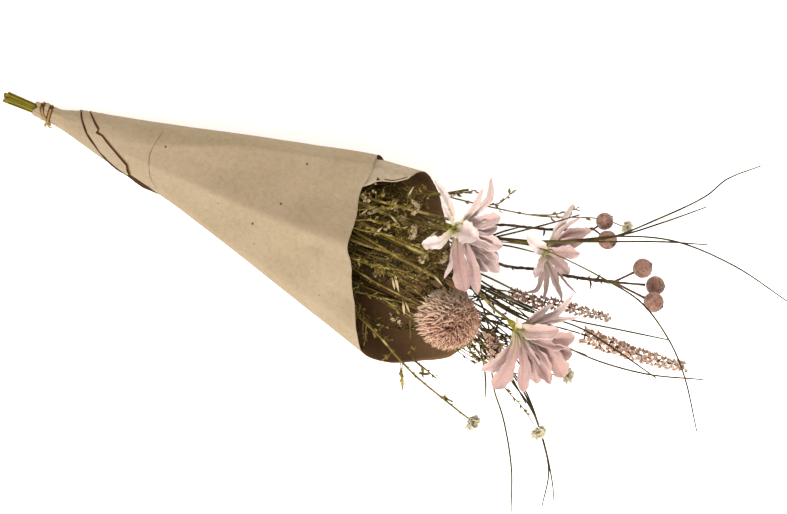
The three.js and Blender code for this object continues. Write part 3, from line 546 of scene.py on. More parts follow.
def stem_paint(name, dark, mid, light, roughness=(0.42, 0.62), cut=None, young=None):
    p = Paint(name, Specular_IOR_Level=0.12)
    along, across = p.share("along"), p.share("across")
    ribs = p.grain(2.2, 3, 0.6, p.join(p.times(along, 5), p.times(across, 7)))
    patches = p.grain(90, 3, 0.6)
    body = p.mix(p.fit(ribs, 0.34, 0.66), dark, mid)
    body = p.mix(p.fit(patches, 0.5, 0.68, 0, 0.8), body, light)
    if young is not None:
        body = p.mix(p.fit(along, 0.12, 0.5, 0.8, 0), body, young)
    if cut is not None:
        # green and fresh out of the collar, and cut straight at the end
        x = p.node("ShaderNodeSeparateXYZ", {0: p.place()}).outputs["X"]
        fresh = p.mix(p.fit(ribs, 0.38, 0.58), rgb(60, 48, 0), rgb(164, 148, 22))
        body = p.mix(p.fit(x, -0.176, -0.166, 0.95, 0), body, fresh)
        body = p.mix(p.fit(x, -0.2128, -0.2118, 1, 0), body, cut)
    normal = p.bump(p.plus(ribs, p.times(patches, 0.6)), 0.00035, 0.8)
    return p.wear(body, normal, p.fit(patches, 0.3, 0.7, *roughness))


def leaf_paint(name, dark, mid, light):
    p = Paint(name, Specular_IOR_Level=0.1, Subsurface_Weight=0.06, Subsurface_Scale=0.001)
    along, across, tint = p.share("along"), p.share("across"), p.share("tint")
    veins = p.grain(1.5, 3, 0.6, p.join(p.times(along, 3), p.times(across, 3),
                                        p.times(tint, 9)))
    body = p.ramp(tint, (0.0, dark), (0.5, mid), (1.0, light))
    body = p.mix(p.fit(veins, 0.4, 0.66, 0, 0.6), body, light)
    body = p.mix(p.fit(p.math("ABSOLUTE", across), 0.2, 0.0, 0, 0.35), body, light)
    body = p.mix(p.fit(p.grain(240, 3), 0.52, 0.7, 0, 0.5), body, dark)
    return p.wear(body, p.bump(veins, 0.0003, 0.7), p.fit(veins, 0.3, 0.7, 0.55, 0.75))


def spike_paint(name, root, mid, tip, pale, much=0.85):
    p = Paint(name, Specular_IOR_Level=0.05, Subsurface_Weight=0.08, Subsurface_Scale=0.001)
    along, tint = p.share("along"), p.share("tint")
    body = p.ramp(along, (0.0, root), (0.45, mid), (0.8, tip), (1.0, pale))
    body = p.mix(p.fit(tint, 0.35, 1.0, 0, much), body, pale)
    body = p.mix(p.fit(p.grain(420, 3), 0.5, 0.7, 0, 0.45), body, root)
    grooves = p.grain(3.0, 2, 0.5, p.join(p.times(along, 2), p.share("across"),
                                         p.times(tint, 20)))
    return p.wear(body, p.bump(grooves, 0.0003, 0.7), p.fit(grooves, 0.3, 0.7, 0.7, 0.9))


def berry_paint():
    p = Paint("frosted_berry", Specular_IOR_Level=0.2, Sheen_Weight=0.08, Sheen_Roughness=0.5)
    patches = p.grain(150, 4, 0.65)
    frost = p.grain(700, 3, 0.7)
    pits = p.cells(560)
    body = p.mix(p.fit(patches, 0.36, 0.64), rgb(140, 94, 76), rgb(188, 138, 116))
    body = p.mix(p.fit(frost, 0.5, 0.7, 0, 0.75), body, rgb(214, 174, 152))
    body = p.mix(p.fit(p.grain(230, 3, 0.7), 0.52, 0.64, 0, 0.85), body, rgb(104, 70, 54))
    body = p.mix(p.fit(p.grain(480, 2, 0.7), 0.57, 0.66, 0, 0.6), body, rgb(84, 58, 44))
    streak = p.grain(1.2, 3, 0.6, p.join(p.times(p.share("along"), 3),
                                       p.times(p.share("across"), 9)))
    body = p.mix(p.fit(streak, 0.54, 0.68, 0, 0.55), body, rgb(112, 78, 60))
    body = p.mix(p.fit(p.share("along"), 0.9, 0.97), body, rgb(66, 46, 36))
    body = p.mix(p.fit(p.share("along"), 0.08, 0.0), body, rgb(72, 52, 38))
    height = p.plus(p.times(frost, 0.8), p.times(pits, -0.9))
    height = p.plus(height, p.times(patches, 1.4))
    return p.wear(body, p.bump(height, 0.0007, 0.9), p.fit(frost, 0.3, 0.7, 0.5, 0.8))


def twine_paint():
    p = Paint("jute_twine", Specular_IOR_Level=0.1, Sheen_Weight=0.1, Sheen_Roughness=0.6)
    lay = p.grain(2.0, 3, 0.7, p.join(p.times(p.share("along"), 130),
                                      p.times(p.share("across"), 2.0)))
    body = p.mix(p.fit(lay, 0.34, 0.66), rgb(146, 104, 42), rgb(212, 168, 88))
    body = p.mix(p.fit(p.grain(700, 2), 0.5, 0.7, 0, 0.5), body, rgb(242, 218, 166))
    return p.wear(body, p.bump(lay, 0.0004, 0.9), p.fit(lay, 0.3, 0.7, 0.75, 0.92))


PAPER = kraft_paper()
TWINE = twine_paint()
CUT = rgb(66, 56, 12)
STEM = stem_paint("green_stem", rgb(78, 60, 12), rgb(140, 116, 40), rgb(208, 186, 110), cut=CUT)
CALYX = stem_paint("calyx_green", rgb(118, 110, 8), rgb(176, 166, 40), rgb(214, 204, 98))
BRANCH = stem_paint("dark_branch", rgb(46, 30, 18), rgb(92, 68, 48), rgb(150, 120, 94),
                    (0.6, 0.85), CUT)
BROWN_STEM = stem_paint("brown_stem", rgb(56, 40, 14), rgb(100, 78, 34), rgb(146, 122, 62),
                        (0.55, 0.8), CUT)
GRASS = stem_paint("grass_blade", rgb(48, 34, 12), rgb(74, 60, 28), rgb(120, 104, 56), (0.6, 0.8),
                   CUT, rgb(122, 106, 44))
PINK = petal_paint("pink_petal", rgb(255, 235, 228), rgb(222, 186, 177), rgb(190, 146, 137),
                   rgb(214, 202, 142), 0.34)
CREAM = petal_paint("cream_petal", rgb(250, 244, 218), rgb(232, 218, 176), rgb(190, 172, 122),
                    rgb(200, 184, 112), 0.25, rgb(250, 244, 222))
WHITE = petal_paint("white_petal", rgb(240, 216, 168), rgb(212, 184, 132), rgb(164, 132, 82),
                    rgb(130, 108, 50), 0.3, rgb(228, 208, 162))
LEAF = leaf_paint("olive_leaf", rgb(56, 42, 8), rgb(120, 98, 32), rgb(196, 174, 94))
# the olive leaf's shaded copy: painted shade for dim leaves in the mouth
DARK_LEAF = leaf_paint("shaded_leaf", rgb(36, 25, 6), rgb(72, 53, 16), rgb(112, 89, 40))
THISTLE = spike_paint("thistle_floret", rgb(160, 98, 74), rgb(218, 154, 128), rgb(236, 188, 160),
                      rgb(252, 228, 196), 0.6)
SPRAY = spike_paint("spray_floret", rgb(168, 116, 88), rgb(216, 164, 136), rgb(232, 194, 168),
                    rgb(250, 232, 212))
BERRY = berry_paint()


# Kraft-paper wrapper

SHEET = 0.5
COLLAR_X, NECK_X, MOUTH_X = 24, 46.0, 303.0
GAP_AT_NECK, GAP_GROWTH = 1.0, 3.0  # from one turn of the paper to the next
# Angles round the cone, 0 on top: the sheet's two edges and where its outer turn ends
OUTER_EDGE, SIDE_EDGE, INNER_EDGE = 100.0, -259.0, -620.0
# X, lowest and highest Y, lowest and highest Z
CONE = [
    [24, -6.3, 8.3, 1.7, 16.3], [28, -6.6, 8.6, 1.4, 16.6], [32, -7.2, 9.2, 0.8, 17.2],
    [36, -6.5, 8.5, 1.5, 16.5], [41, -6.5, 8.5, 1.5, 16.5], [46, -6.6, 8.7, 1.4, 16.7],
    [60, -7.8, 14.3, 0.4, 21.3], [90, -14.4, 21.3, -1.5, 31.4], [142, -25.6, 33.9, -3, 49],
    [163, -30.8, 39.3, -3.6, 56], [293, -68.2, 71.2, -8, 100], [339, -81.4, 82.4, -9.4, 117],
    [420, -104.4, 102.2, -12, 147],
]
# Angle and X of the fold of the hem
HEM = [
    [100, 57.5], [67, 60.4], [26, 63.4], [-20, 71.6], [-47, 81.9], [-60, 88.5], [-65, 97],
    [-67.2, 112], [-69, 118], [-71.5, 128], [-73, 134], [-76, 139], [-80, 143], [-90, 147.5],
    [-120, 120], [-180, 75], [-230, 52], [-244, 46.4], [-259, 46.4],
]
# Seen from above: the fold of the hem, the torn edge of the strip that is folded out, and dark
# bands of painted shadow in the gaps beside both and in the hollows at the flap. Each band lies
# between two lines.
STRIP = ([seen(80.2, 110.6, 28), seen(81.2, 118.5, 30), seen(86.2, 133.5, 34), seen(95, 146, 34),
          seen(106.2, 159.8, 30), seen(116.2, 168.5, 26), seen(126.4, 175.6, 26)],
         [seen(87.6, 111.0, 28), seen(90, 117.2, 32), seen(93, 124, 36), seen(96.2, 129.6, 37),
          seen(94, 132.8, 37), seen(97, 134.6, 37), seen(100, 136, 38), seen(103.8, 141, 38),
          seen(108.8, 147.2, 38), seen(117.5, 157.2, 36), seen(125, 166, 32), seen(125.6, 171, 30),
          seen(127.4, 175, 28)])
FOLD_SHADOW = ([seen(78.8, 110.8, 28), seen(79.7, 118.9, 30), seen(84.6, 134.6, 34),
             seen(93.6, 147.4, 34), seen(105, 161.2, 30), seen(115.2, 170, 26),
             seen(125.6, 176.3, 26), seen(134.8, 183.3, 26), seen(142.3, 188.2, 26),
             seen(150, 191.4, 26), seen(158.2, 195, 26)],
            [seen(81.6, 111.2, 28), seen(82.8, 118.2, 30), seen(87.6, 132.8, 34),
             seen(96.4, 145, 34), seen(107.4, 158.6, 30), seen(117.2, 167.3, 26),
             seen(130, 170.5, 28), seen(140.4, 175.5, 28), seen(150, 181.5, 28), seen(156, 187, 28),
             seen(160, 193, 28)])
TORN_EDGE_SHADOW = ([seen(86.8, 111.6, 28), seen(89.2, 117.8, 32), seen(92.2, 124.6, 36),
             seen(95.2, 129.6, 37), seen(93.2, 132.8, 37), seen(96.4, 135.2, 37),
             seen(99.4, 136.6, 38), seen(103.2, 141.5, 38), seen(108.2, 147.7, 38),
             seen(116.9, 157.7, 36), seen(124.3, 166.4, 32), seen(125, 171.4, 30),
             seen(127, 175.4, 28)],
            [seen(89.4, 110.4, 28), seen(92.4, 116, 32), seen(95.6, 122.6, 36), seen(99, 128.2, 37),
             seen(98.2, 131.4, 37), seen(99.6, 132.8, 37), seen(102.6, 134.6, 38),
             seen(106.4, 139.4, 38), seen(111.4, 145.6, 38), seen(120.2, 155.6, 36),
             seen(128, 164.2, 32), seen(129.6, 170, 30), seen(131, 174, 28)])
FLAP_EDGE_SHADOW = ([seen(383.5, 180.0, 96), seen(393, 180.9, 94), seen(400, 179.6, 92),
              seen(407.5, 177.4, 90)],
             [seen(384, 178.9, 96), seen(393, 179.8, 94), seen(400, 178.6, 92),
              seen(407, 176.6, 90)])
FLAP_HOLE_SHADOW = ([seen(375.2, 180.2, 96), seen(377.2, 180.5, 96), seen(379.8, 179.9, 96)],
             [seen(376.2, 178.2, 96), seen(377.1, 177, 96), seen(378.4, 178.6, 96)])
CORNER_SHADOW = ([seen(375.4, 158.8, 52), seen(378, 160.2, 52), seen(380.6, 161, 52),
           seen(383.4, 161.2, 52)],
          [seen(375.6, 155.4, 50), seen(378.2, 155.0, 50), seen(380.6, 156.6, 49),
           seen(383.2, 160.2, 48)])
# Angle and X of the edge at the mouth and within
MOUTH = [
    [100, 292], [54, 294], [39, 292.5], [17, 297], [-5, 299], [-16, 307], [-37, 317], [-60, 332],
    [-90, 345], [-110, 361], [-121, 373], [-132, 387], [-147, 411], [-160, 419], [-178, 402],
    [-194, 378], [-224, 354], [-255, 338], [-272, 332.8], [-285, 328.5], [-298.5, 323.2],
    [-300.9, 318.5], [-303.2, 313.8], [-305.7, 302.5], [-311.3, 295.3], [-318, 287], [-340, 265],
    [-360, 250], [-420, 180], [-500, 110], [-580, 70], [-620, 52],
]
FAR = 9.0  # the share that a place far from the crease gets
# Y and X of the fine crease
CREASE = [[23.5, 127.8], [18.1, 126.5], [4.5, 124.8], [-8, 128.2], [-16.8, 133.9], [-21.7, 141.1]]
RIDGE = ([60, 129, 292, 420], [-30, -22, -6, 0])  # X and angle of the line where two sides meet
DENTS = (  # X, angle, how far it stands out, reach
    (275.8, -17, -3.0, 7.5), (316.1, -45, -2.8, 7), (250, 20, -0.9, 14), (200, -40, -0.8, 16),
    (300, -30, 1.2, 10), (180, 15, -0.7, 12), (262, -9, 1.2, 7), (290, 6, -0.8, 9),
)
DENT_RADIUS = 115  # the cone's radius for which the reach of a dent is told


def tie_x(which, y):
    """Where each turn of the twine crosses the collar."""
    if which == 0:
        return 37.2 - 0.1 * (y + 5)
    return 37.6 - 9.0 * np.tanh((y + 5) / 5.6)


def turn_gap(x):
    """How far one turn of the paper lies inside the next."""
    return GAP_AT_NECK + GAP_GROWTH * climb(x, NECK_X, MOUTH_X - NECK_X)


def waves(x, y, seed):
    """Soft waves without a pattern, about -1 to 1."""
    r = np.random.default_rng(seed)
    total = 0
    for _ in range(7):
        k = r.normal(size=2)
        total = total + np.sin(k[0] * x + k[1] * y + r.uniform(0, 6.28))
    return total / 3.2


def dents(angle, x):
    """How far the sheet stands out of the even cone."""
    theta = (angle + 180) % 360 - 180
    radius = column(CONE, x, 2) - column(CONE, x, 1)
    size, broad = climb(x, 60, 180), climb(x, 60, 130)
    # two flatter sides that meet at the ridge
    away = theta - np.interp(x, *RIDGE)
    h = np.radians(3 + np.where(away > 0, 31 * broad, 23 * broad))
    from_ridge = np.minimum(np.radians(np.sqrt(away**2 + 1.5)), 2 * h)
    out = radius / 2 * (np.cos(h) / np.cos(from_ridge - h) - 1) * (size > 0)
    out = out + 0.8 * size * hump(away, 40)
    out = out - 4.8 * np.clip((x - 300) / 34, 0, 1.2) * hump(theta - 92, 34)
    # soft waves, fewer at the outline, and single dents
    calm = 0.25 + 0.75 * climb(-np.abs(theta), -75, 30)
    out = out + calm * size * 0.8 * waves(x / 26, np.sin(np.radians(theta)) * radius / 40, 3)
    out = out + calm * 0.3 * climb(x, 55, 20) * waves(x / 9, theta / 13, 5)
    for x0, t0, depth, reach in DENTS:
        d2 = ((x - x0) / reach) ** 2 + ((theta - t0) * radius / DENT_RADIUS / reach) ** 2
        out = out + depth * np.exp(-d2)
    # the gathered neck
    neck = np.exp(-(((x - 30) / 16) ** 4))
    pleats = np.sin(np.radians(theta) * 9 + 1.3 * np.sin(x / 4.0)) + 0.5 * np.sin(
        np.radians(theta) * 17 + x / 3)
    out = out + neck * 0.3 * pleats + neck * 0.5 * waves(x / 4, np.radians(theta) * 2.2, 17)
    out = out + 1.4 * hump(x - 51, 7) * hump(theta - 80, 50)
    swell = climb(x, 44, 22) * np.clip((150 - x) / 40, 0, 1)
    out = out + 2.6 * swell * hump(np.abs(theta + 92), 38)
    bulge = hump(x - 33, 4.0) * hump(theta - 75, 60)
    return out + 0.9 * bulge + 0.12 * hump(x - 56, 9) * pleats


def paper_point(angle, x, depth):
    """A point of the sheet, depth below its outer side."""
    angle, x = np.broadcast_arrays(np.asarray(angle, float), np.asarray(x, float))
    y_low, y_high, z_low, z_high = (column(CONE, x, k) for k in (1, 2, 3, 4))
    inset = (OUTER_EDGE - angle) / 360 * turn_gap(x) + depth
    inset = inset - dents(angle, x)
    rad = np.radians(angle)
    y = (y_low + y_high) / 2 + ((y_high - y_low) / 2 - inset) * np.sin(rad)
    z = (z_low + z_high) / 2 + ((z_high - z_low) / 2 - inset) * np.cos(rad)
    below = np.where(angle < -360, 1.0, 0.0)
    return np.stack([x, y, np.maximum(z, below * turn_gap(x) + depth)], -1)


def crease_at(x, y, z):
    """Millimetres from the fine crease across the top of the cone."""
    line = column(CREASE, y) + 0.25 * waves(y / 3, y * 0, 61)
    beyond = np.maximum(np.maximum(y - CREASE[0][0], CREASE[-1][0] - y), 0)
    return np.where(z > 15, x - line + beyond * 12, FAR)


def cone_height(x, y, over):
    """Height above (x, y) of a sheet that lies a little over the outer turn."""
    y_low, y_high, z_low, z_high = (column(CONE, x, k) for k in (1, 2, 3, 4))
    middle, half = (y_low + y_high) / 2, (y_high - y_low) / 2
    theta = np.degrees(np.arcsin(np.clip((y - middle) / half, -0.99, 0.99)))
    for _ in range(4):
        deep = (OUTER_EDGE - theta) / 360 * turn_gap(x) - over - dents(theta, x)
        theta = np.degrees(np.arcsin(np.clip((y - middle) / (half - deep), -0.999, 0.999)))
    return (z_low + z_high) / 2 + ((z_high - z_low) / 2 - deep) * np.cos(np.radians(theta))


def densely(points):
    """The same line with its corners kept sharp."""
    p = np.array(points, float)
    return [a + (b - a) * k for a, b in zip(p, p[1:]) for k in (0.0, 0.08, 0.5, 0.92)] + [p[-1]]


def band(form, lines, over, tint, rows, thick=0.22, own_height=False, sharp=False):
    """A narrow sheet between two lines seen from above. over and tint run across it."""
    t = np.linspace(0, 1, rows)
    left, right = (Line(densely(p) if sharp else p).at(t) for p in lines)
    s = np.linspace(0, 1, len(over))
    grid = left[:, None] * (1 - s)[None, :, None] + right[:, None] * s[None, :, None]
    if not own_height:
        grid[..., 2] = cone_height(grid[..., 0], grid[..., 1], np.array(over)[None])
    low = grid - [0, 0, thick]
    shade = np.ones(rows)[:, None] * np.array(tint)[None]
    shell(form, grid[:, ::-1], low[:, ::-1], grid[..., 0] / 100, grid[..., 1] / 100,
          np.tile(shade[:, ::-1].ravel(), 2), FAR)


def hem_and_flap(form):
    band(form, STRIP, [0.0, 0.4, 0.8, 0.9, 0.95, 1.0, 1.1, 1.2, 1.15], [-0.1] * 9, 160, 0.4,
         sharp=True)
    # dark bands of painted shadow: beside the fold, beside the torn edge, in the hollow at the
    # corner, and at the flap's edge and hole
    band(form, FOLD_SHADOW, [-0.12, -0.12, -0.2, -0.6], [2.0] * 4, 160)
    band(form, TORN_EDGE_SHADOW, [0.3, 0.2, 0.15, 0.08, 0.04], [2.0, 2.0, 1.6, 0.8, 0.0], 160, 0.12,
         sharp=True)
    band(form, CORNER_SHADOW, [0.0] * 5, [2.0] * 5, 30, 0.4, own_height=True)
    for lines in (FLAP_EDGE_SHADOW, FLAP_HOLE_SHADOW):
        band(form, lines, [0.35 - turn_gap(310)] * 4, [1.9] * 4, 30, 0.2)


def open_edges(faces):
    """Edges that have a face on one side only."""
    edges = {}
    for f in faces.tolist():
        for p, q in zip(f, f[1:] + f[:1]):
            if (q, p) in edges:
                del edges[(q, p)]
            else:
                edges[(p, q)] = True
    return list(edges)


def joined(index):
    """Faces between neighbours in a grid of point numbers."""
    return np.stack([index[:-1, :-1], index[1:, :-1], index[1:, 1:], index[:-1, 1:]],
                    -1).reshape(-1, 4)


WRAP_ROWS, COLLAR_ROWS = 94, 33
INNER_TURNS = (np.linspace(SIDE_EDGE, -335, 62), np.linspace(-339, INNER_EDGE, 72))
FLAP_FROM, FLAP_TO = -262, -330


def paper_wrap():
    form = Form()
    outer = np.arange(OUTER_EDGE, SIDE_EDGE, -2.5)
    inner = np.concatenate(INNER_TURNS)
    angles = np.concatenate([outer, inner])
    along = np.linspace(0, 1, WRAP_ROWS) ** 1.25
    edge = np.where(angles < SIDE_EDGE, NECK_X + 0.4, column(HEM, angles))
    ragged = 0.5 * waves(angles / 7, angles * 0, 11) + 0.25 * waves(angles / 2.2, angles * 0, 12)
    end = column(MOUTH, angles) + ragged
    x = edge[:, None] + (end - edge)[:, None] * along[None]
    # where the outer turn hasn't begun, the inner one lies just beneath its place
    around = np.where(angles < FLAP_FROM, angles + 360, -260.0)
    start = column(HEM, around)[:, None]
    free = (around > -259)[:, None] * np.clip((start + 16 - x) / 14, 0, 1)
    near = np.clip(1.2 - (start - x) / 10, 0, 1)
    under = (OUTER_EDGE - around)[:, None] / 360 * turn_gap(x) + 0.35 + 0.6 * near
    rise = free * ((OUTER_EDGE - angles)[:, None] / 360 * turn_gap(x) - under)
    curl = np.exp(-((end[:, None] - x) / 6)) * np.where(angles > -70, 1.0, 0.0)[:, None]
    offset = 0.5 * curl * waves(angles[:, None] / 16, x * 0, 21) - rise
    a = angles[:, None] * np.ones(WRAP_ROWS)[None]
    top, bottom = paper_point(a, x, offset), paper_point(a, x, offset + SHEET)

    # the collar, on the inner turn only
    over = around[len(outer):, None]
    gx = np.linspace(COLLAR_X, NECK_X + 0.4, COLLAR_ROWS)[:-1]
    ga = inner[:, None] * np.ones(len(gx))[None]
    gxx = np.ones(len(inner))[:, None] * gx[None]
    gxx = gxx + np.exp(-(gxx - COLLAR_X) / 3) * 1.4 * waves(ga / 16, ga * 0, 31)
    under = (OUTER_EDGE - over) / 360 + 0.95 - 0.6 * climb(gxx, 38, 8.4)
    under = under + 0.5 * np.clip((32 - gxx) / 8, 0, 1)
    up = np.where(over > -259, (OUTER_EDGE - ga) / 360 * turn_gap(gxx) - under, 0)
    collar_top, collar_bottom = (paper_point(ga, gxx, d - up) for d in (0, SHEET))

    n_main, n_collar = top.shape[0] * WRAP_ROWS, len(inner) * len(gx)
    layer = n_main + n_collar
    index = np.arange(n_main).reshape(-1, WRAP_ROWS)
    collar = n_main + np.arange(n_collar).reshape(len(inner), len(gx))
    faces = np.concatenate([joined(index), joined(np.concatenate(
        [collar, index[len(outer):, :1]], 1))])
    walls = np.array([[q, p, p + layer, q + layer] for p, q in open_edges(faces)])
    points = np.concatenate([part.reshape(-1, 3) for part in (top, collar_top, bottom,
                                                              collar_bottom)])
    flap = (angles < FLAP_FROM)[:, None] * (angles > FLAP_TO)[:, None] * climb(x, 284, 6)
    # painted shadow on the collar beside the twine's strands, painted shade on the whole inner side
    # of the sheet, and the flap paler
    tie = np.minimum(*(np.abs(collar_top[..., 0] - tie_x(k, collar_top[..., 1])) for k in (0, 1)))
    twine_shadow = np.clip(2.7 - tie / 0.9, 0, 1.75) * (collar_top[..., 2] > 9)
    inside = np.concatenate([(-flap * np.ones(WRAP_ROWS)).ravel(), twine_shadow.ravel(), np.ones(layer)])
    crease = crease_at(points[:, 0], points[:, 1], points[:, 2])
    turn = np.concatenate([a.ravel(), ga.ravel()])
    crease = np.where(np.tile(turn, 2) > -259, crease, FAR)
    form.add(points, np.concatenate([faces, faces[:, ::-1] + layer, walls]),
             points[:, 0] / 100, points[:, 1] / 100, inside, crease)
    hem_and_flap(form)
    return form


paper_wrap().make("wrapper", [PAPER], "kraft_paper", ["paper_wrap"])


# Twine

NECK_Y, NECK_Z, TIE_R, TIE_POINTS = 1.0, 9.0, 7.75, 44
PLY_STEP, PLY_SIDES, LAY = 0.35, 8, 3.4  # lay: the length of one twist
KNOT = [[-1.6, 1.2, 2.4], [-0.4, -0.9, 1.6], [1.2, -1.3, 0.2], [1.1, -0.6, -1.4],
        [-0.4, -0.7, -1.6], [-1.4, -0.9, -0.3], [-0.6, -1.5, 0.9], [1.3, -1.0, 1.6],
        [2.4, -0.9, 1.0]]
LOOSE_ENDS = [[[0.4, -0.8, 0.2], [1.6, -2.2, 0.2], [3.2, -2.6, 0.2], [4.6, -1.8, 0.4]],
              [[-1.0, -0.6, 0.4], [-2.0, -2.0, 0.0], [-1.2, -3.0, -0.4], [0.4, -3.2, -0.6]]]


def twisted(form, line, closed=False, radius=0.5, offset=0.46):
    """Two plies that wind round each other."""
    rows = max(8, int(line.length / PLY_STEP))
    t = np.linspace(0, 1, rows, endpoint=not closed)
    c, _, n, b = line.frames(t)
    drift = 0.0
    if closed:
        end = line.frames(np.linspace(0, 1, rows + 1))
        drift = math.atan2(np.dot(end[2][-1], b[0]), np.dot(end[2][-1], n[0]))
    turns = max(1, round(line.length / LAY))
    a = np.linspace(0, 2 * np.pi, PLY_SIDES, endpoint=False)
    for ply in (0, 1):
        phase = 2 * np.pi * turns * t + np.pi * ply - drift * t
        middle = c + offset * (n * np.cos(phase)[:, None] + b * np.sin(phase)[:, None])
        if not closed:
            tube(form, Line(middle[::2], per=3), even(radius), PLY_SIDES, PLY_STEP)
            continue
        ring = middle[:, None] + radius * (n[:, None] * np.cos(a)[None, :, None]
                                           + b[:, None] * np.sin(a)[None, :, None])
        index = np.arange(rows * PLY_SIDES).reshape(rows, PLY_SIDES)
        nxt = np.roll(index, -1, 0)
        faces = np.stack([index, np.roll(index, -1, 1), np.roll(nxt, -1, 1), nxt], -1)
        form.add(ring, faces.reshape(-1, 4), np.repeat(t, PLY_SIDES),
                 np.tile(a / np.pi - 1, rows), 0.5)


def twine_tie():
    form = Form()
    for which in (0, 1):
        points = []
        for k in range(TIE_POINTS):
            turn = 2 * math.pi * k / TIE_POINTS
            y = TIE_R * math.sin(turn)
            # at the upper side the paper folds over the string
            sunk = np.clip((y - (3.2, 0.9)[which]) / 1.6, 0, 1) * np.clip(
                math.cos(turn) * 3 + 0.6, 0, 1)
            r = TIE_R - 1.5 * float(sunk)
            points.append([float(tie_x(which, NECK_Y + y)), NECK_Y + r * math.sin(turn),
                           NECK_Z + r * math.cos(turn)])
        twisted(form, Line(points, True), True)
    low = np.array([37.9, NECK_Y - TIE_R + 0.9, NECK_Z + 3.2])
    twisted(form, Line([low + d for d in KNOT]))
    r = np.random.default_rng(8)
    for loose in LOOSE_ENDS:
        points = [low + d for d in loose]
        twisted(form, Line(points), False, 0.34, 0.3)
        end = points[-1]
        f = unit(end - points[-2])
        for _ in range(9):
            out = f * r.uniform(1.0, 2.2) + r.normal(size=3) * 0.5
            fibre = Line([end - f * 0.5, end + out * 0.5, end + out])
            tube(form, fibre, lambda t: 0.07 * (1.2 - t), 4, 0.5, tint=0.8)
    return form


twine_tie().make("twine", [TWINE], "twine", ["twine_tie"])


# Stems in the bundle

# Radius of a thick and a thin stem, how far each lies from the middle of the tie, and how much
# wider the bundle is at its cut ends
STEM_R, THIN_R, STEM_PITCH, GROOVE_R, END_SPREAD = 1.25, 0.5, 2.8, 3.92, 1.2
STEM_RADII = [STEM_R, STEM_R, 1.1, 1.0, 0.9]
THIN_RADII = [THIN_R, THIN_R, 0.6, 0.6, 0.5]


def seat(turn, radius):
    """Y and Z of a stem's place in the bundle at the tie."""
    a = math.radians(turn)
    return [NECK_Y + radius * math.cos(a), NECK_Z + radius * math.sin(a)]


def thick(turn):
    return [NECK_Y, NECK_Z] if turn is None else seat(turn, STEM_PITCH)


def groove(turn):
    return seat(turn, GROOVE_R)


def stem_line(cut, place, mouth, onward):
    """From the cut end through the tie and the mouth of the cone, and onward."""
    y, z = place
    start = np.array([NECK_X, y, z])
    end = [cut - 3.6, NECK_Y + (y - NECK_Y) * END_SPREAD, NECK_Z + (z - NECK_Z) * END_SPREAD]
    fan = [start + (np.array(mouth, float) - start) * t for t in (0.15, 0.4, 0.7)]
    return [end, [22, y, z], start, *fan, mouth, *onward]


def stem(form, points, radii=STEM_RADII, slot=0, grow=1.0, sides=14, ribs=7):
    r = linear(radii)
    tube(form, Line(points), lambda t: r(t) * grow, sides, 2.2, ribs=ribs, rib_depth=0.07,
         slot=slot)


# Lily-like blooms

SPOON, BROAD, LANCE = (
    [0.36, 0.5, 0.74, 1.0, 0.93, 0.66, 0.3, 0.03],
    [0.4, 0.66, 0.94, 1.0, 0.84, 0.56, 0.26, 0.03],
    [0.34, 0.62, 0.92, 0.9, 0.66, 0.42, 0.24, 0.04],
)
WIDTH_AT = [0, 0.22, 0.48, 0.7, 0.86, 0.94, 0.98, 1]

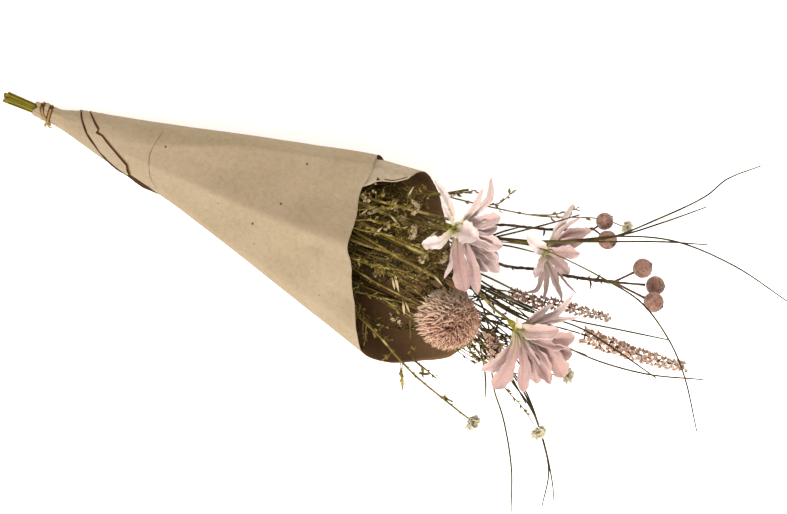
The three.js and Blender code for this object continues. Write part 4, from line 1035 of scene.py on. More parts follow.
# Each petal: outline, half width, tone (0 pale to 1 deep, painted light and shade of each petal),
# then points from the heart to the tip
LILIES = [
    dict(cut=0, turn=60, mouth=[303, 31, 67], onward=[[338, 32, 73]], heart=[371, 39, 84],
         axis=[0.55, 0.12, 0.83], petals=[
             (LANCE, 3.1, 0.1, [seen(446.5, 199.5, 90), seen(434.3, 181, 92)]),
             (LANCE, 2.2, 0.1, [seen(448.5, 216, 88), seen(443.5, 208, 90)]),
             (LANCE, 3.0, 0.3, [seen(472.5, 209, 96), seen(482.5, 189, 98)]),
             (LANCE, 3.4, 0.25, [seen(476, 211, 93), seen(488, 199, 92), seen(490.8, 178, 89)]),
             (BROAD, 5.6, 0.4, [seen(480, 222, 91), seen(500, 217.5, 88)]),
             (BROAD, 5.6, 0.4, [seen(481, 230, 88), seen(497, 228, 86)]),
             (BROAD, 6.6, 0.5, [seen(481, 240, 86), seen(502, 246.5, 83)]),
             (BROAD, 7.0, 0.5, [seen(480, 251, 83), seen(498.5, 272.5, 80)]),
             (BROAD, 5.4, 0.55, [seen(480, 246, 85), seen(498, 259, 80)]),
             (BROAD, 4.6, 0.6, [seen(472, 256, 84), seen(487, 272, 80)]),
             (SPOON, 4.6, 0.8, [seen(470, 258, 92), seen(476.8, 294, 88)]),
             (SPOON, 7.4, 1.0, [seen(458.5, 262, 91), seen(465, 292, 94)]),
             (LANCE, 2.4, 0.2, [seen(451, 262, 87), seen(443.5, 278.5, 85)]),
             (SPOON, 5.2, 0.0, [seen(438, 242, 93), seen(421, 244.5, 95)]),
             (BROAD, 8.6, 0.0, [seen(464, 233, 95), seen(477.5, 239.5, 100)]),
         ]),
    dict(cut=2.5, turn=0, mouth=[303, 33, 46], onward=[[372, 41, 51], [415, 47, 55]],
         heart=[443, 50, 60], axis=[0.86, -0.12, 0.5], petals=[
             (LANCE, 3.0, 0.15, [seen(557, 229, 65), seen(567, 214, 68), seen(573, 204.5, 65)]),
             (LANCE, 2.2, 0.2, [seen(561, 229, 67), seen(580, 218, 66)]),
             (BROAD, 5.4, 0.8, [seen(567, 236, 66), seen(591, 231, 62)]),
             (BROAD, 5.0, 0.9, [seen(565, 243, 68), seen(584, 240, 68)]),
             (BROAD, 6.2, 0.7, [seen(562, 252, 70), seen(579.5, 253.5, 77)]),
             (BROAD, 5.6, 0.6, [seen(557, 263, 66), seen(569, 274, 66)]),
             (LANCE, 3.2, 0.45, [seen(553, 277, 64), seen(561.5, 300, 60)]),
             (LANCE, 2.4, 0.4, [seen(546, 281, 62), seen(543.2, 300, 59)]),
             (LANCE, 2.4, 0.5, [seen(538.5, 284, 62), seen(535, 290, 60), seen(525, 293.5, 59)]),
             (BROAD, 3.4, 0.3, [seen(540, 265, 64), seen(534, 278, 66)]),
             (LANCE, 1.2, 0.8, [seen(566, 284, 58), seen(577.5, 295, 57)]),
             (BROAD, 6.0, 0.0, [seen(536, 245, 92), seen(526.5, 236.5, 94)]),
         ]),
    dict(cut=1.5, turn=120, mouth=[303, 0, 78], onward=[[372, 6, 74], [396, 6, 74], [423, -7, 78]],
         heart=[447, -15, 83], axis=[0.7, -0.3, 0.65], petals=[
             (LANCE, 3.0, 0.35, [seen(538, 314, 92), seen(552.5, 304, 96)]),
             (LANCE, 3.2, 0.3, [seen(545, 318, 90), seen(560, 309.5, 92), seen(572.5, 295, 92)]),
             (LANCE, 2.6, 0.35, [seen(550, 321, 88), seen(577, 318, 87)]),
             (LANCE, 3.0, 0.0, [seen(517.8, 324, 90), seen(516.5, 318, 92)]),
             (BROAD, 7.4, 0.8, [seen(553, 340, 88), seen(574.5, 337.5, 84)]),
             (BROAD, 7.0, 0.95, [seen(550, 349, 86), seen(572, 355, 82)]),
             (BROAD, 8.4, 1.0, [seen(548, 353, 88), seen(563.5, 378, 82)]),
             (BROAD, 6.4, 0.95, [seen(538, 361, 88), seen(550, 384.5, 85)]),
             (SPOON, 5.4, 0.7, [seen(531, 362, 88), seen(537, 384.5, 85)]),
             (SPOON, 5.2, 0.95, [seen(523.5, 365, 91), seen(522.5, 393, 88)]),
             (SPOON, 6.6, 1.0, [seen(509.5, 363, 90), seen(493.5, 389.5, 87)]),
             (BROAD, 4.8, 0.7, [seen(502, 359, 85), seen(480.5, 371.5, 82)]),
             (BROAD, 6.8, 0.75, [seen(541, 331, 99), seen(558.5, 330, 104)]),
         ]),
]
FILAMENTS = 6
SLIM, SLIM_FROM = {2: 0.88}, 3.5  # the broader petals of this bloom are narrower


def lily(data, number):
    heart, axis = np.array(data["heart"], float), unit(data["axis"])
    r = np.random.default_rng(50 + number)
    line = [*data["onward"], heart - axis * 13, heart - axis * 8]
    form = Form()
    path = stem_line(data["cut"], thick(data["turn"]), data["mouth"], line)
    stem(form, path, grow=1.15)
    calyx = Line([heart - axis * 12, heart - axis * 8, heart - axis * 4, heart - axis * 1.4])
    tube(form, calyx, spread([0.95, 1.7, 2.5, 2.9, 2.2]), 18, 0.6, ribs=6, rib_depth=0.1, slot=1)
    u, v = square_to(axis)
    for k in range(5):
        a = 2 * math.pi * (k + 0.3 * r.random()) / 5
        out = turned(u, v, a)
        base = heart - axis * 3.2 + out * 1.6
        leaf(form, base, base + axis * 5.5 + out * 3.6, 1.1, axis, 0.1, r.random(), slot=1)
    form.make(f"lily_{number}_stem", [STEM, CALYX], "green_stem", [f"lily_stem_{number}"])

    form = Form()
    tube(form, Line([heart - axis * 2.2, heart, heart + axis * 3.2]), spread([2.3, 2.9, 2.6, 0.7]),
         14, 0.6, slot=1)
    for i, (outline, half, tone, points) in enumerate(data["petals"]):
        half = half * (SLIM.get(number, 1) if half > SLIM_FROM else 1)
        tip = np.array(points[-1], float)
        out = tip - heart
        flat = unit(out - axis * np.dot(out, axis))
        first = heart + axis * 0.5 + flat * 1.0
        near = heart + (np.array(points[0], float) - heart) * 0.35 + axis * (1.6 + 0.8 * (i % 3))
        face = unit(axis * 0.35 + np.array([0, 0, 1.0]))
        petal(form, [first, near, *points], lambda t, w=outline, h=half: np.maximum(
            smooth(WIDTH_AT, w, t) * h, 0.35), face, 30, 19, 0.34 + 0.22 * r.random(), 0.32,
              1.3 + 0.9 * r.random(), 0.5, np.clip(tone + r.uniform(-0.08, 0.08), 0, 1),
              r.random() * 3, twist=r.uniform(-0.2, 0.2), tip_curl=r.uniform(0, 0.8),
              pleat=0.045 * min(half, 7))
    for k in range(FILAMENTS):
        a = 2 * math.pi * (k + 0.3 * r.random()) / FILAMENTS
        out = turned(u, v, a)
        root = heart + axis * 2 + out * 0.8
        end = heart + axis * (7 + 3 * r.random()) + out * (1.6 + 2 * r.random())
        tube(form, Line([root, (root + end) / 2 + out * 0.5, end]), lambda t: 0.3 - 0.1 * t, 6, 0.8,
             slot=1)
        bud(form, end - axis * 0.4, end + axis * 1.3, 0.5, 0.8, slot=1)
    form.make(f"lily_{number}_bloom", [PINK, CALYX], "pink_petal", [f"lily_bloom_{number}"])


for number, data in enumerate(LILIES, 1):
    lily(data, number)


# Thistle

THISTLE_AT, THISTLE_R, CORE_R = np.array([396.0, -29.0, 74.0]), 27.0, 15.0
CORE = CORE_R + 0.5  # the ball that the spikes stand on
CORE_ROWS, CORE_COLS, SPIKES, CALYX_LEAVES = 16, 28, 1250, 11
BARE_ANGLE = 0.4  # round the stem, without spikes
SPIKES_LEAN = np.array([-3.4, -1.8, 0.2])
SPIKE_WIDTH = linear([0.6, 1.0, 1.05, 0.7, 0.1])


def thistle():
    start = np.array([374.0, -20.0, 66.0])
    to_stem = unit(start - THISTLE_AT)
    foot = THISTLE_AT + to_stem * (CORE_R + 1.4)
    form = Form()
    stem(form, stem_line(1, thick(180), [303, -12, 58], [[349, -15, 63], foot]), grow=1.1)
    form.make("thistle_stalk", [STEM], "green_stem", ["thistle_stem"])

    form = Form()
    r = np.random.default_rng(7)
    turns = np.linspace(0, 2 * np.pi, CORE_COLS, endpoint=False)
    lat = np.linspace(0.06, np.pi - 0.06, CORE_ROWS)
    ball = np.stack([np.sin(lat)[:, None] * np.cos(turns), np.sin(lat)[:, None] * np.sin(turns),
                     np.cos(lat)[:, None] * np.ones(CORE_COLS)], -1) * CORE
    poles = np.array([[0, 0, CORE], [0, 0, -CORE]])
    form.add(np.concatenate([ball.reshape(-1, 3), poles]) + THISTLE_AT,
             ball_faces(CORE_ROWS, CORE_COLS), 0.5, 0, 0.1)
    pole = -to_stem
    side = unit(np.array([-0.55, 0.75, 0.35]))
    for i in range(SPIKES):
        z = 1 - 2 * (i + 0.5) / SPIKES
        turn = i * math.pi * (3 - math.sqrt(5))
        ring = math.sqrt(1 - z * z)
        even_out = np.array([ring * math.cos(turn), ring * math.sin(turn), z])
        out = unit(even_out + r.normal(size=3) * 0.09)
        if math.acos(np.clip(np.dot(out, to_stem), -1, 1)) < BARE_ANGLE:
            continue
        u, v = square_to(out)
        bend = u * r.normal() * 2.6 + v * r.normal() * 2.6 + SPIKES_LEAN + pole * 0.8
        facing_lit_side = float(np.dot(out, side))
        shape = 1.0 - 0.1 * abs(out[1]) + 0.04 * max(-out[0], 0)
        length = THISTLE_R * shape * (0.7 + 0.3 * r.random() ** 0.7 + 0.05 * max(facing_lit_side, 0))
        root = THISTLE_AT + out * (CORE - 1.5)
        tip = THISTLE_AT + out * length + bend * 0.7
        middle = (root + tip) / 2 - bend * 0.5 + u * r.normal() * 1.0 + v * r.normal() * 1.0
        # paler on spikes that point to the upper left: painted light, with random own variation
        pale = float(np.clip(0.2 + 0.7 * max(facing_lit_side, -0.1) + 0.3 * r.random(), 0, 1))
        width = 0.72 + 0.4 * r.random()
        tube(form, Line([root, middle, tip], per=5), lambda t: SPIKE_WIDTH(t) * width, 4,
             (length - CORE + 1.5) / 5, flat=0.55, first=u, tint=pale)
        for _ in range(1 + (i % 4 == 0)):
            aside = unit(u * r.normal() + v * r.normal() + out * 2.2)
            fork = middle + aside * (5 + 3 * r.random())
            tube(form, Line([middle, (middle + fork) / 2 + out * 0.5, fork], per=4),
                 lambda t: (1 - 0.8 * t) * 0.5, 3, 2.2, first=u, tint=pale)
    u, v = square_to(to_stem)
    for k in range(2 * CALYX_LEAVES):
        a = 2 * math.pi * k / CALYX_LEAVES + 0.2 * (k // CALYX_LEAVES)
        out = turned(u, v, a)
        base = THISTLE_AT + to_stem * (CORE_R + 0.4) + out * 1.2
        reach = 9 if k < CALYX_LEAVES else 6
        tip = THISTLE_AT + to_stem * (CORE_R - 5) + out * (reach + 2)
        leaf(form, base, tip, 1.6, to_stem, 0.18, r.random(), slot=1)
    form.make("thistle_flower", [THISTLE, LEAF], "thistle", ["thistle_head"])


thistle()


# Berries

# Middle, radius and where the stalk starts
BERRIES = [
    ([481, 90, 54], 7.0, [475, 81, 55]), ([488, 77, 65], 7.7, [475, 81, 55]),
    ([523, 67, 56], 7.9, [506, 48, 49]), ([538, 58, 46], 7.7, [506, 48, 49]),
    ([541, 45, 61], 8.2, [506, 48, 49]),
]
BERRY_FORK = [360, 33, 42]
BERRY_UPPER = [[405, 56, 49], [428, 63, 50], [447, 69, 51], [475, 81, 55]]
BERRY_LOWER = [[418, 27, 44], [445, 34, 42], [467, 38, 43], [488, 43, 46], [506, 48, 49]]
# Short bare side twigs, from the branch to the tip
BERRY_STUBS = [
    [[439, 66, 50.5], [440, 61, 50]], [[488, 43, 46], [491, 36, 45]],
    [[492, 44, 46.4], [494, 50, 48]],
]


def knobs(seed, amount=0.22):
    """Uneven thickness along and round a branch, for tube's wobble."""
    r = np.random.default_rng(seed)
    k = r.uniform(0.5, 1.6, 5)
    p = r.uniform(0, 6.28, 5)

    def wobble(s, turn):
        total = 0
        for i in range(5):
            total = total + np.sin(k[i] * s + (i % 3) * turn + p[i])
        return 1 + amount * total / 3

    return wobble


def branch(form, points, radii, seed):
    tube(form, Line(points), linear(radii), 10, 0.9, wobble=knobs(seed))


def stalk(form, points, radius):
    """A stalk with close rings, thicker at its ends."""
    line = Line(points)
    rings = line.length / 1.7
    tube(form, line, lambda t: radius * (1 + 0.22 * (2 * t - 1) ** 2)
         * (0.86 + 0.2 * np.abs(np.sin(np.pi * rings * t))), 10, 0.28,
         wobble=knobs(int(rings), 0.06))


def berries():
    wood = Form()
    branch(wood, stem_line(3, thick(300), [303, 24, 32], [BERRY_FORK]), STEM_RADII, 1)
    branch(wood, [BERRY_FORK, *BERRY_UPPER], [0.9, 1.1, 1.2], 2)
    branch(wood, [BERRY_FORK, *BERRY_LOWER], [0.9, 1.25, 1.55], 3)
    path = Line([BERRY_FORK, *BERRY_LOWER])
    for k, t in enumerate((0.45, 0.62, 0.8, 0.86, 0.93)):
        c, f = path.at(t), path.ahead(t)
        out = unit(np.cross(f, [0, 0, 1.0]) * (-1) ** k + [0.3, 0, 0.4])
        branch(wood, [c, c + out * 1.6, c + out * (2.6 + k % 2) + f * 1.2], [0.8, 0.6, 0.25],
               40 + k)
    for i, (a, b) in enumerate(BERRY_STUBS):
        branch(wood, [a, (np.array(a) + b) / 2 + [0.4, 0, 0.3], b], [1.0, 0.85, 0.5], 4 + i)
    for i, (at, radius, start) in enumerate(BERRIES):
        at, start = np.array(at, float), np.array(start, float)
        towards = unit(start - at)
        foot = at + towards * (radius + 0.3)
        bend = (start + foot) / 2 + [0, 0, -1]
        stalk(wood, [start, bend, foot], 0.95 if i > 1 else 0.75)
        berry(at, radius, towards, i + 1)
    wood.make("berry_twigs", [BRANCH], "dark_branch", ["berry_branch"])


def berry(at, radius, towards, number):
    form = Form()
    r = np.random.default_rng(70 + number)
    rows, cols = 36, 56
    lat = np.linspace(0.03, math.pi - 0.03, rows)
    turn = np.linspace(0, 2 * np.pi, cols, endpoint=False)
    u, v = square_to(towards)
    coarse = r.normal(size=(10, 3)) * 3.0
    shape = (towards[None, None] * np.cos(lat)[:, None, None]
             + u[None, None] * (np.sin(lat)[:, None] * np.cos(turn))[..., None]
             + v[None, None] * (np.sin(lat)[:, None] * np.sin(turn))[..., None])
    lumps = np.zeros((rows, cols))
    for q in coarse:
        lumps = lumps + np.sin(shape @ q + q[0] * 5)
    fine = np.zeros((rows, cols))
    for q in r.normal(size=(12, 3)) * 14:
        fine = fine + np.sin(shape @ q + q[1])
    dip = 0.05 * hump(lat, 0.22) + 0.03 * hump(math.pi - lat, 0.2)
    size = radius * (1 + 0.006 * lumps + 0.0028 * fine - dip[:, None])
    ball = at + shape * size[..., None]
    poles = np.stack([at + towards * radius * 0.95, at - towards * radius * 0.97])
    form.add(np.concatenate([ball.reshape(-1, 3), poles]), ball_faces(rows, cols),
             np.concatenate([np.repeat(lat / math.pi, cols), [0, 1]]),
             np.concatenate([np.tile(turn / math.pi - 1, rows), [0, 0]]), r.random())
    end = at - towards * radius * 0.97
    for q in range(6):
        a = 2 * math.pi * (q + 0.3 * r.random()) / 6
        out = turned(u, v, a)
        leaf(form, end, end + out * 1.3 - towards * 0.7, 0.45, -towards, 0.1, 0.2, slot=1)
    bud(form, end + towards * 0.4, end - towards * 0.7, 0.5, 0.2, slot=1)
    form.make(f"frosted_berry_{number}", [BERRY, BRANCH], "berry", [f"berry_{number}"])


berries()


# Feathery sprays

# Line, how far its florets reach, how many
SPRAYS = [
    ([[430, 9, 44], [450, 10, 44], [475, 15, 45], [512, 20, 47]], [4.8, 5.2, 3.0], 84),
    ([[497, 0, 57], [533, 1, 58], [566, 4, 58], [582, 7, 57]], [7.6, 7.4, 4.4], 112),
    ([[428, -24, 56], [436, -35, 57], [445, -51, 56]], [5.8, 6.4, 4.4], 62),
]
SPRAY_FORK = [400, 3, 47]
SPRAY_LEADS = [[[418, 6, 45]], [[450, -4, 53]], [[416, -9, 54]]]


SMALL_WIDTH = spread([0.35, 0.9, 1.0, 0.85, 0.3])


def floret(form, root, tip, size, r, tint):
    """A stalk with a cup of five rounded petals and a dark eye."""
    root, tip = np.asarray(root, float), np.asarray(tip, float)
    axis = unit(tip - root)
    u, v = square_to(axis)
    tube(form, Line([root, (root + tip) / 2, tip], per=3), lambda t: 0.34 - 0.08 * t, 4, 1.2,
         tint=0.0, slot=1)
    bud(form, tip - axis * 1.2, tip + axis * 0.6, size * 0.42, tint * 0.6, 6, 5)
    for k in range(5):
        a = 2 * math.pi * (k + 0.5 * r.random()) / 5
        out = turned(u, v, a)
        end = tip + out * size * (0.8 + 0.35 * r.random()) + axis * size * (0.1 + 0.4 * r.random())
        face = unit(axis * 0.6 + np.array([0, 0, 0.6]))
        petal(form, [tip - axis * 0.5 + out * 0.25, (tip + end) / 2 + out * 0.2, end],
              lambda t: np.maximum(SMALL_WIDTH(t) * size * 0.4, 0.12), face, 4, 5, 0.45, 0.25, 0.3,
              0.2, tint + r.uniform(-0.15, 0.15), r.random() * 3)
    bud(form, tip + axis * size * 0.1, tip + axis * size * 0.62, size * 0.12, 0.2, 5, 4, slot=2)


def sprays():
    wood = Form()
    branch(wood, stem_line(0.5, thick(None), [303, 4, 42], [SPRAY_FORK]), STEM_RADII, 21)
    for n, (line, wide, count) in enumerate(SPRAYS):
        path = Line(line)
        start = path.at(0.0) - path.ahead(0.0) * 0.3
        branch(wood, [SPRAY_FORK, *SPRAY_LEADS[n], start], [0.8, 0.75, 0.65], 22 + n)
        form = Form()
        tube(form, path, spread([0.7, 0.65, 0.4]), 8, 1.0, wobble=knobs(30 + n, 0.15), slot=1)
        r = np.random.default_rng(31 + n)
        width = linear(wide)
        for i in range(count):
            t = (i + 0.5) / count
            c, f = path.at(t), path.ahead(t)
            u, v = square_to(f)
            a = math.radians(137.5) * i + 0.4 * r.random()
            out = turned(u, v, a)
            reach = float(width(t)) * (0.62 + 0.4 * r.random())
            tip = c + out * reach * 0.8 + f * (1.6 + 1.6 * r.random())
            size = (2.9 - 0.7 * t if n == 1 else 2.5 - 0.5 * t) + 0.5 * r.random()
            floret(form, c, tip, size, r, float(np.clip((0.7 * t - 0.1) + 0.45 * r.random(), 0, 1)))
            if i % 9 == 4:
                leaf(form, c, c + out * reach * 0.9 + f * 1.5, 0.9, [0, 0, 1], 0.1, r.random(),
                     slot=3)
        form.make(f"spray_{n + 1}", [SPRAY, BROWN_STEM, BRANCH, LEAF], "spray",
                  [f"astilbe_spray_{n + 1}"])
    wood.make("spray_stalk", [BROWN_STEM], "dark_branch", ["astilbe_stem"])


sprays()


# Grass

# X of the cut end, angle in the bundle, place at the mouth, points up to the fork, and each blade
# from there
GRASS_TUFTS = [
    (4, 30, [303, 40, 57], [[350, 38, 60], [385, 38, 64], [412, 44, 71]], [
        [[441, 57, 87], [484, 76, 88], [519, 108, 84], [547, 139, 79], [557, 157, 76],
         [579, 178, 70]],
        [[441, 56, 86], [494, 83, 85], [523, 106, 78], [551, 131, 70]],
        [[441, 55, 87], [498, 84, 83], [538, 96, 77], [589, 96, 66], [641, 86, 52]],
        [[441, 56, 88], [485, 74, 90], [529, 92, 92], [562, 103, 92]],
        [[437, 50, 84], [461, 50, 90], [497, 47, 88], [531, 41, 81], [563, 22, 72], [586, 0, 60],
         [613, -37, 42]]]),
    (6, 150, [303, -16, 72], [[340, -4, 68], [372, 3, 62], [400, 5, 62], [440, 0, 67]], [
        [[489, 8, 70], [526, 15, 67], [564, 22, 62]],
        [[494, 4, 73], [525, -1, 72], [557, -8, 66], [566, -10, 63]],
        [[480, -12, 69], [510, -15, 67], [557, -10, 62], [601, 3, 56]],
        [[480, -14, 66], [508, -14, 63]]]),
    (5, 270, [303, -10, 21], [[372, -24, 26], [420, -31, 30]], [
        [[440, -50, 34], [451, -68, 37], [466, -86, 38], [487, -120, 33], [501, -154, 22]],
        [[448, -44, 35], [474, -61, 40], [502, -90, 40], [522, -119, 34], [529, -132, 28]],
        [[448, -43, 36], [474, -59, 41], [500, -88, 38], [516, -112, 32], [522, -140, 24]],
        [[444, -40, 37], [462, -55, 43], [478, -68, 44]],
        [[437, -24, 36], [450, -33, 41], [466, -44, 45]],
        [[430, -44, 33], [440, -60, 34], [447, -76, 33]]]),
]


# More blades of each tuft, which end among the blooms
SHORT_BLADES = [
    (1, [seen(470, 242, 64), seen(500, 236, 66), seen(549.7, 223.5, 70), seen(579, 215, 72)]),
    (1, [seen(478, 238, 62), seen(505, 231, 64), seen(524, 226, 66)]),
    (1, [seen(470, 240, 60), seen(500, 240, 62), seen(536, 246, 64)]),
    (1, [seen(474, 244, 58), seen(505, 246, 58), seen(538, 253.5, 60)]),
    (1, [seen(470, 236, 58), seen(500, 238.5, 60), seen(541, 242, 62)]),
    (2, [seen(468, 270, 70), seen(486.6, 277, 72), seen(521, 294, 70)]),
    (2, [seen(466, 279, 68), seen(490, 290, 70), seen(538, 312, 68)]),
    (2, [seen(466, 281, 66), seen(490, 292.5, 68), seen(534, 312, 66)]),
    (2, [seen(470, 284, 64), seen(500, 297, 64), seen(536, 315, 64)]),
    (2, [seen(470, 309, 62), seen(490, 315, 66), seen(512, 322, 68)]),
    (2, [seen(472, 314, 60), seen(492, 322, 64), seen(512, 330, 68)]),
    (2, [seen(472, 318, 60), seen(492, 321, 62), seen(514, 327.5, 66)]),
    (2, [seen(472, 323, 58), seen(490, 333, 62), seen(510, 343, 66)]),
    (2, [seen(474, 325, 56), seen(492, 331, 60), seen(512, 338, 64)]),
    (2, [seen(460, 270, 66), seen(490, 287, 68), seen(520, 303, 66), seen(545, 312, 64)]),
    (2, [seen(460, 274, 64), seen(486, 291, 66), seen(512, 306, 64)]),
    (2, [seen(462, 278, 62), seen(492, 300, 64), seen(528, 322, 62)]),
    (2, [seen(464, 286, 64), seen(488, 300, 66), seen(520, 318, 66), seen(548, 326, 64)]),
    (2, [seen(468, 300, 60), seen(488, 312, 62), seen(515, 334, 62)]),
    (2, [seen(466, 304, 60), seen(486, 318, 62), seen(508, 336, 62)]),
    (3, [seen(468, 312, 50), seen(484, 328, 50), seen(500, 346, 48), seen(508, 356, 46)]),
    (3, [seen(470, 306, 52), seen(490, 325, 52), seen(506, 340, 50)]),
    (3, [seen(462, 320, 46), seen(478, 338, 46), seen(494, 358, 44)]),
    (3, [seen(464, 324, 44), seen(476, 340, 44), seen(486, 356, 42)]),
    (3, [seen(470, 316, 48), seen(488, 338, 48), seen(499, 352, 46)]),
    (3, [seen(462, 314, 46), seen(480, 334, 46), seen(501, 357, 44), seen(512, 370, 42)]),
    (3, [seen(464, 312, 44), seen(484, 334, 44), seen(505, 356, 42)]),
    (3, [seen(456, 318, 44), seen(474, 338, 42), seen(493, 363, 42)]),
    (3, [seen(454, 322, 42), seen(470, 342, 40), seen(487, 368, 38)]),
    (3, [seen(452, 326, 40), seen(466, 346, 38), seen(478, 362, 36)]),
    (3, [seen(500, 366, 44), seen(512, 383, 40), seen(526, 402, 38), seen(538, 424, 34)]),
    (3, [seen(388, 351, 40), seen(412, 360, 34), seen(436, 379, 26)]),
]


BLADE_WIDTH = spread([0.34, 0.48, 0.68, 0.74, 0.7, 0.5])
ACROSS_BLADE = np.array([-1, -0.55, 0, 0.55, 1.0])
LOOSE_X = 345  # blades that start before it lie on their own


def grass():
    for number, (cut, turn, mouth, neck, blades) in enumerate(GRASS_TUFTS, 1):
        form = Form()
        line = stem_line(cut, groove(turn), mouth, neck)
        stem(form, line, THIN_RADII, sides=8, ribs=0)
        root, before = np.array(neck[-1], float), np.array(neck[-2], float)
        near = root + (before - root) * 0.3
        paths = [[near, root, *points] for points in blades]
        main = Line(line)
        behind = main.at(np.linspace(0.3, 0.96, 60))
        for (points,) in of_number(SHORT_BLADES, number):
            if points[0][0] < LOOSE_X:
                paths.append(points)
                continue
            fit = np.abs(points[0][0] - behind[:, 0] - 45)
            paths.append([behind[fit.argmin()], *points])
        for i, points in enumerate(paths):
            ribbon(form, Line(points), 0.2 + 0.05 * i)
        form.make(f"grass_{number}", [GRASS], "grass", [f"grass_tuft_{number}"])


def ribbon(form, line, tint):
    """A narrow blade, wide across and folded a little along its middle."""
    rows = int(line.length / 1.8) + 3
    t = np.linspace(0, 1, rows)
    c, f = line.at(t), line.ahead(t)
    side = unit(np.cross(f, np.array([0.1, 0.1, 1.0])))
    normal = np.cross(side, f)
    turn = 0.35 * np.sin(3 * t + tint * 20)[:, None]
    side, normal = side * np.cos(turn) + normal * np.sin(turn), (
        normal * np.cos(turn) - side * np.sin(turn))
    half = BLADE_WIDTH(t)[:, None]
    s = ACROSS_BLADE[None]
    mid = c[:, None] + side[:, None] * (half * s)[..., None]
    mid = mid + normal[:, None] * (0.3 * half * np.abs(s))[..., None]
    body = normal[:, None] * (half * (0.42 - 0.22 * np.abs(s)))[..., None]
    shell(form, mid + body, mid - body, np.repeat(t, len(ACROSS_BLADE)),
          np.tile(ACROSS_BLADE, rows), tint)


grass()


# Leafy sprigs

SPRIG_ENDS = dict(mouth=[368, 15, 78.4], inner=[331.4, 40.5, 84], middle=[337.5, 24.1, 84],
                  upper=[496.1, 92.2, 44.7], lower=[492, -82.4, 52.2], raised=[496.1, -35.7, 67])
# X of the cut end, place in the bundle, place at the mouth, points onward, radii, twigs, and for
# the stem and each twig where its leaves start and end and about how many there are
SPRIGS = [
    (4.5, groove(90), [303, 10, 88], [[322, 14, 87], [345, 15, 84], SPRIG_ENDS["mouth"]],
     THIN_RADII, [
        [[269.9, 8.2, 79.3], [300, 26, 84], SPRIG_ENDS["inner"]],
        [[284.8, 8.7, 83.8], [308, 20, 86], SPRIG_ENDS["middle"]],
        [[262, 7.9, 77], [296, -12, 82], [326, -12, 86], [342, -8, 86]]],
     [[0.78, 1, 12], [0.25, 1, 12], [0.25, 1, 10], [0.25, 1, 12]]),
    (5.5, groove(330), [303, 52, 44],
     [[345, 59, 48], [391, 66, 50], [430, 74, 44], [478, 91, 41], SPRIG_ENDS["upper"]],
     THIN_RADII, [
        [[340, 58, 47.6], [360, 64, 56], [377, 74, 60]],
        [[380, 64, 50], [397, 71, 56], [405, 86, 60]],
        [[425, 73, 45], [440, 79, 47], [457, 91, 48]],
        [[300, 51, 44], [322, 56, 58], [340, 60, 64]]],
     [[0.62, 0.98, 9], [0.3, 1, 7], [0.3, 1, 5], [0.4, 1, 5], [0.3, 1, 8]]),
    (2, thick(240), [303, -30, 32], [[340, -34, 36], [372, -36, 37], [405, -38, 37]], STEM_RADII, [
        [[300, -29.6, 32], [322, -36, 48], [340, -34, 54], [356, -38, 56]],
        [[310, -31, 33], [332, -52, 44], [345, -62, 40]],
        [[240, -22.5, 26.2], [290, -6, 34], [330, -4, 38], [360, -3, 38]],
        [[365, -35.8, 37], [372, -52, 30], [381, -69, 34], [403, -76, 36]],
        [[395, -37.6, 37], [428, -44, 40], [445, -52, 45], [458, -63, 49], [475, -71, 51],
         SPRIG_ENDS["lower"]],
        [[428, -44, 40], [455, -50, 52], [480, -42, 62], SPRIG_ENDS["raised"]]],
     [[0.75, 0.98, 6], [0.3, 1, 9], [0.4, 1, 8], [0.35, 1, 14], [0.4, 1, 5], [0.55, 0.9, 6],
      [0.5, 0.9, 3]]),
]
# Bare side stems in the mouth: sprig, radius, tone, points
SIDE_STEMS = [
    (1, 1.0, 0.9, [seen(340, 191, 70), seen(380, 202, 76), seen(420, 212.5, 79),
                   seen(449.5, 220, 80)]),
    (1, 1.05, 1.0, [seen(330, 192, 68), seen(368.6, 207, 76), seen(413.6, 225.7, 80),
                    seen(450.7, 230, 81)]),
    (1, 1.35, 1.0, [seen(340, 213, 72), seen(382, 234.3, 79), seen(428, 255.7, 82)]),
    (1, 1.1, 1.0, [seen(325, 216, 68), seen(353.6, 231.4, 74), seen(395, 255.7, 80),
                   seen(432, 275, 82)]),
    (3, 1.15, 1.0, [seen(325, 250, 58), seen(363.6, 260, 66), seen(399.3, 270, 70),
                    seen(418, 277, 70)]),
    (1, 0.95, 0.8, [seen(350, 235, 68), seen(395, 257.5, 74), seen(438, 279, 76)]),
    (3, 1.0, 0.8, [seen(355, 256, 56), seen(399.3, 272.5, 66), seen(432, 286, 68)]),
    (3, 0.9, 0.5, [seen(330, 283, 42), seen(366.4, 294.3, 48), seen(414, 304.5, 52)]),
    (3, 0.95, 0.7, [seen(340, 262, 50), seen(380, 285, 56), seen(420, 305, 60)]),
    (2, 0.9, 0.6, [seen(350, 184, 50), seen(390, 191, 55), seen(430, 195, 57), seen(468, 190, 58)]),
    (1, 0.9, 0.7, [seen(345, 200, 68), seen(400, 221, 74), seen(448, 241, 74)]),
    (1, 0.8, 0.6, [seen(345, 224, 66), seen(396, 244, 72), seen(436, 262, 74)]),
]
# Where the mouth is crowded: sprig, first and last X, Y and Z, bare stems and leafy twigs
CROWD = [
    (1, [300, 390], [-20, 40], [58, 86], 20, 50),
    (1, [296, 346], [40, 58], [56, 80], 5, 14),
    (2, [292, 352], [30, 60], [36, 60], 10, 24),
    (3, [292, 392], [-30, 26], [26, 58], 26, 40),
    (3, [300, 380], [-66, -34], [14, 40], 4, 9),
    (3, [424, 454], [-56, -24], [36, 60], 10, 14),
    (3, [404, 438], [-22, 8], [44, 66], 6, 12),
]
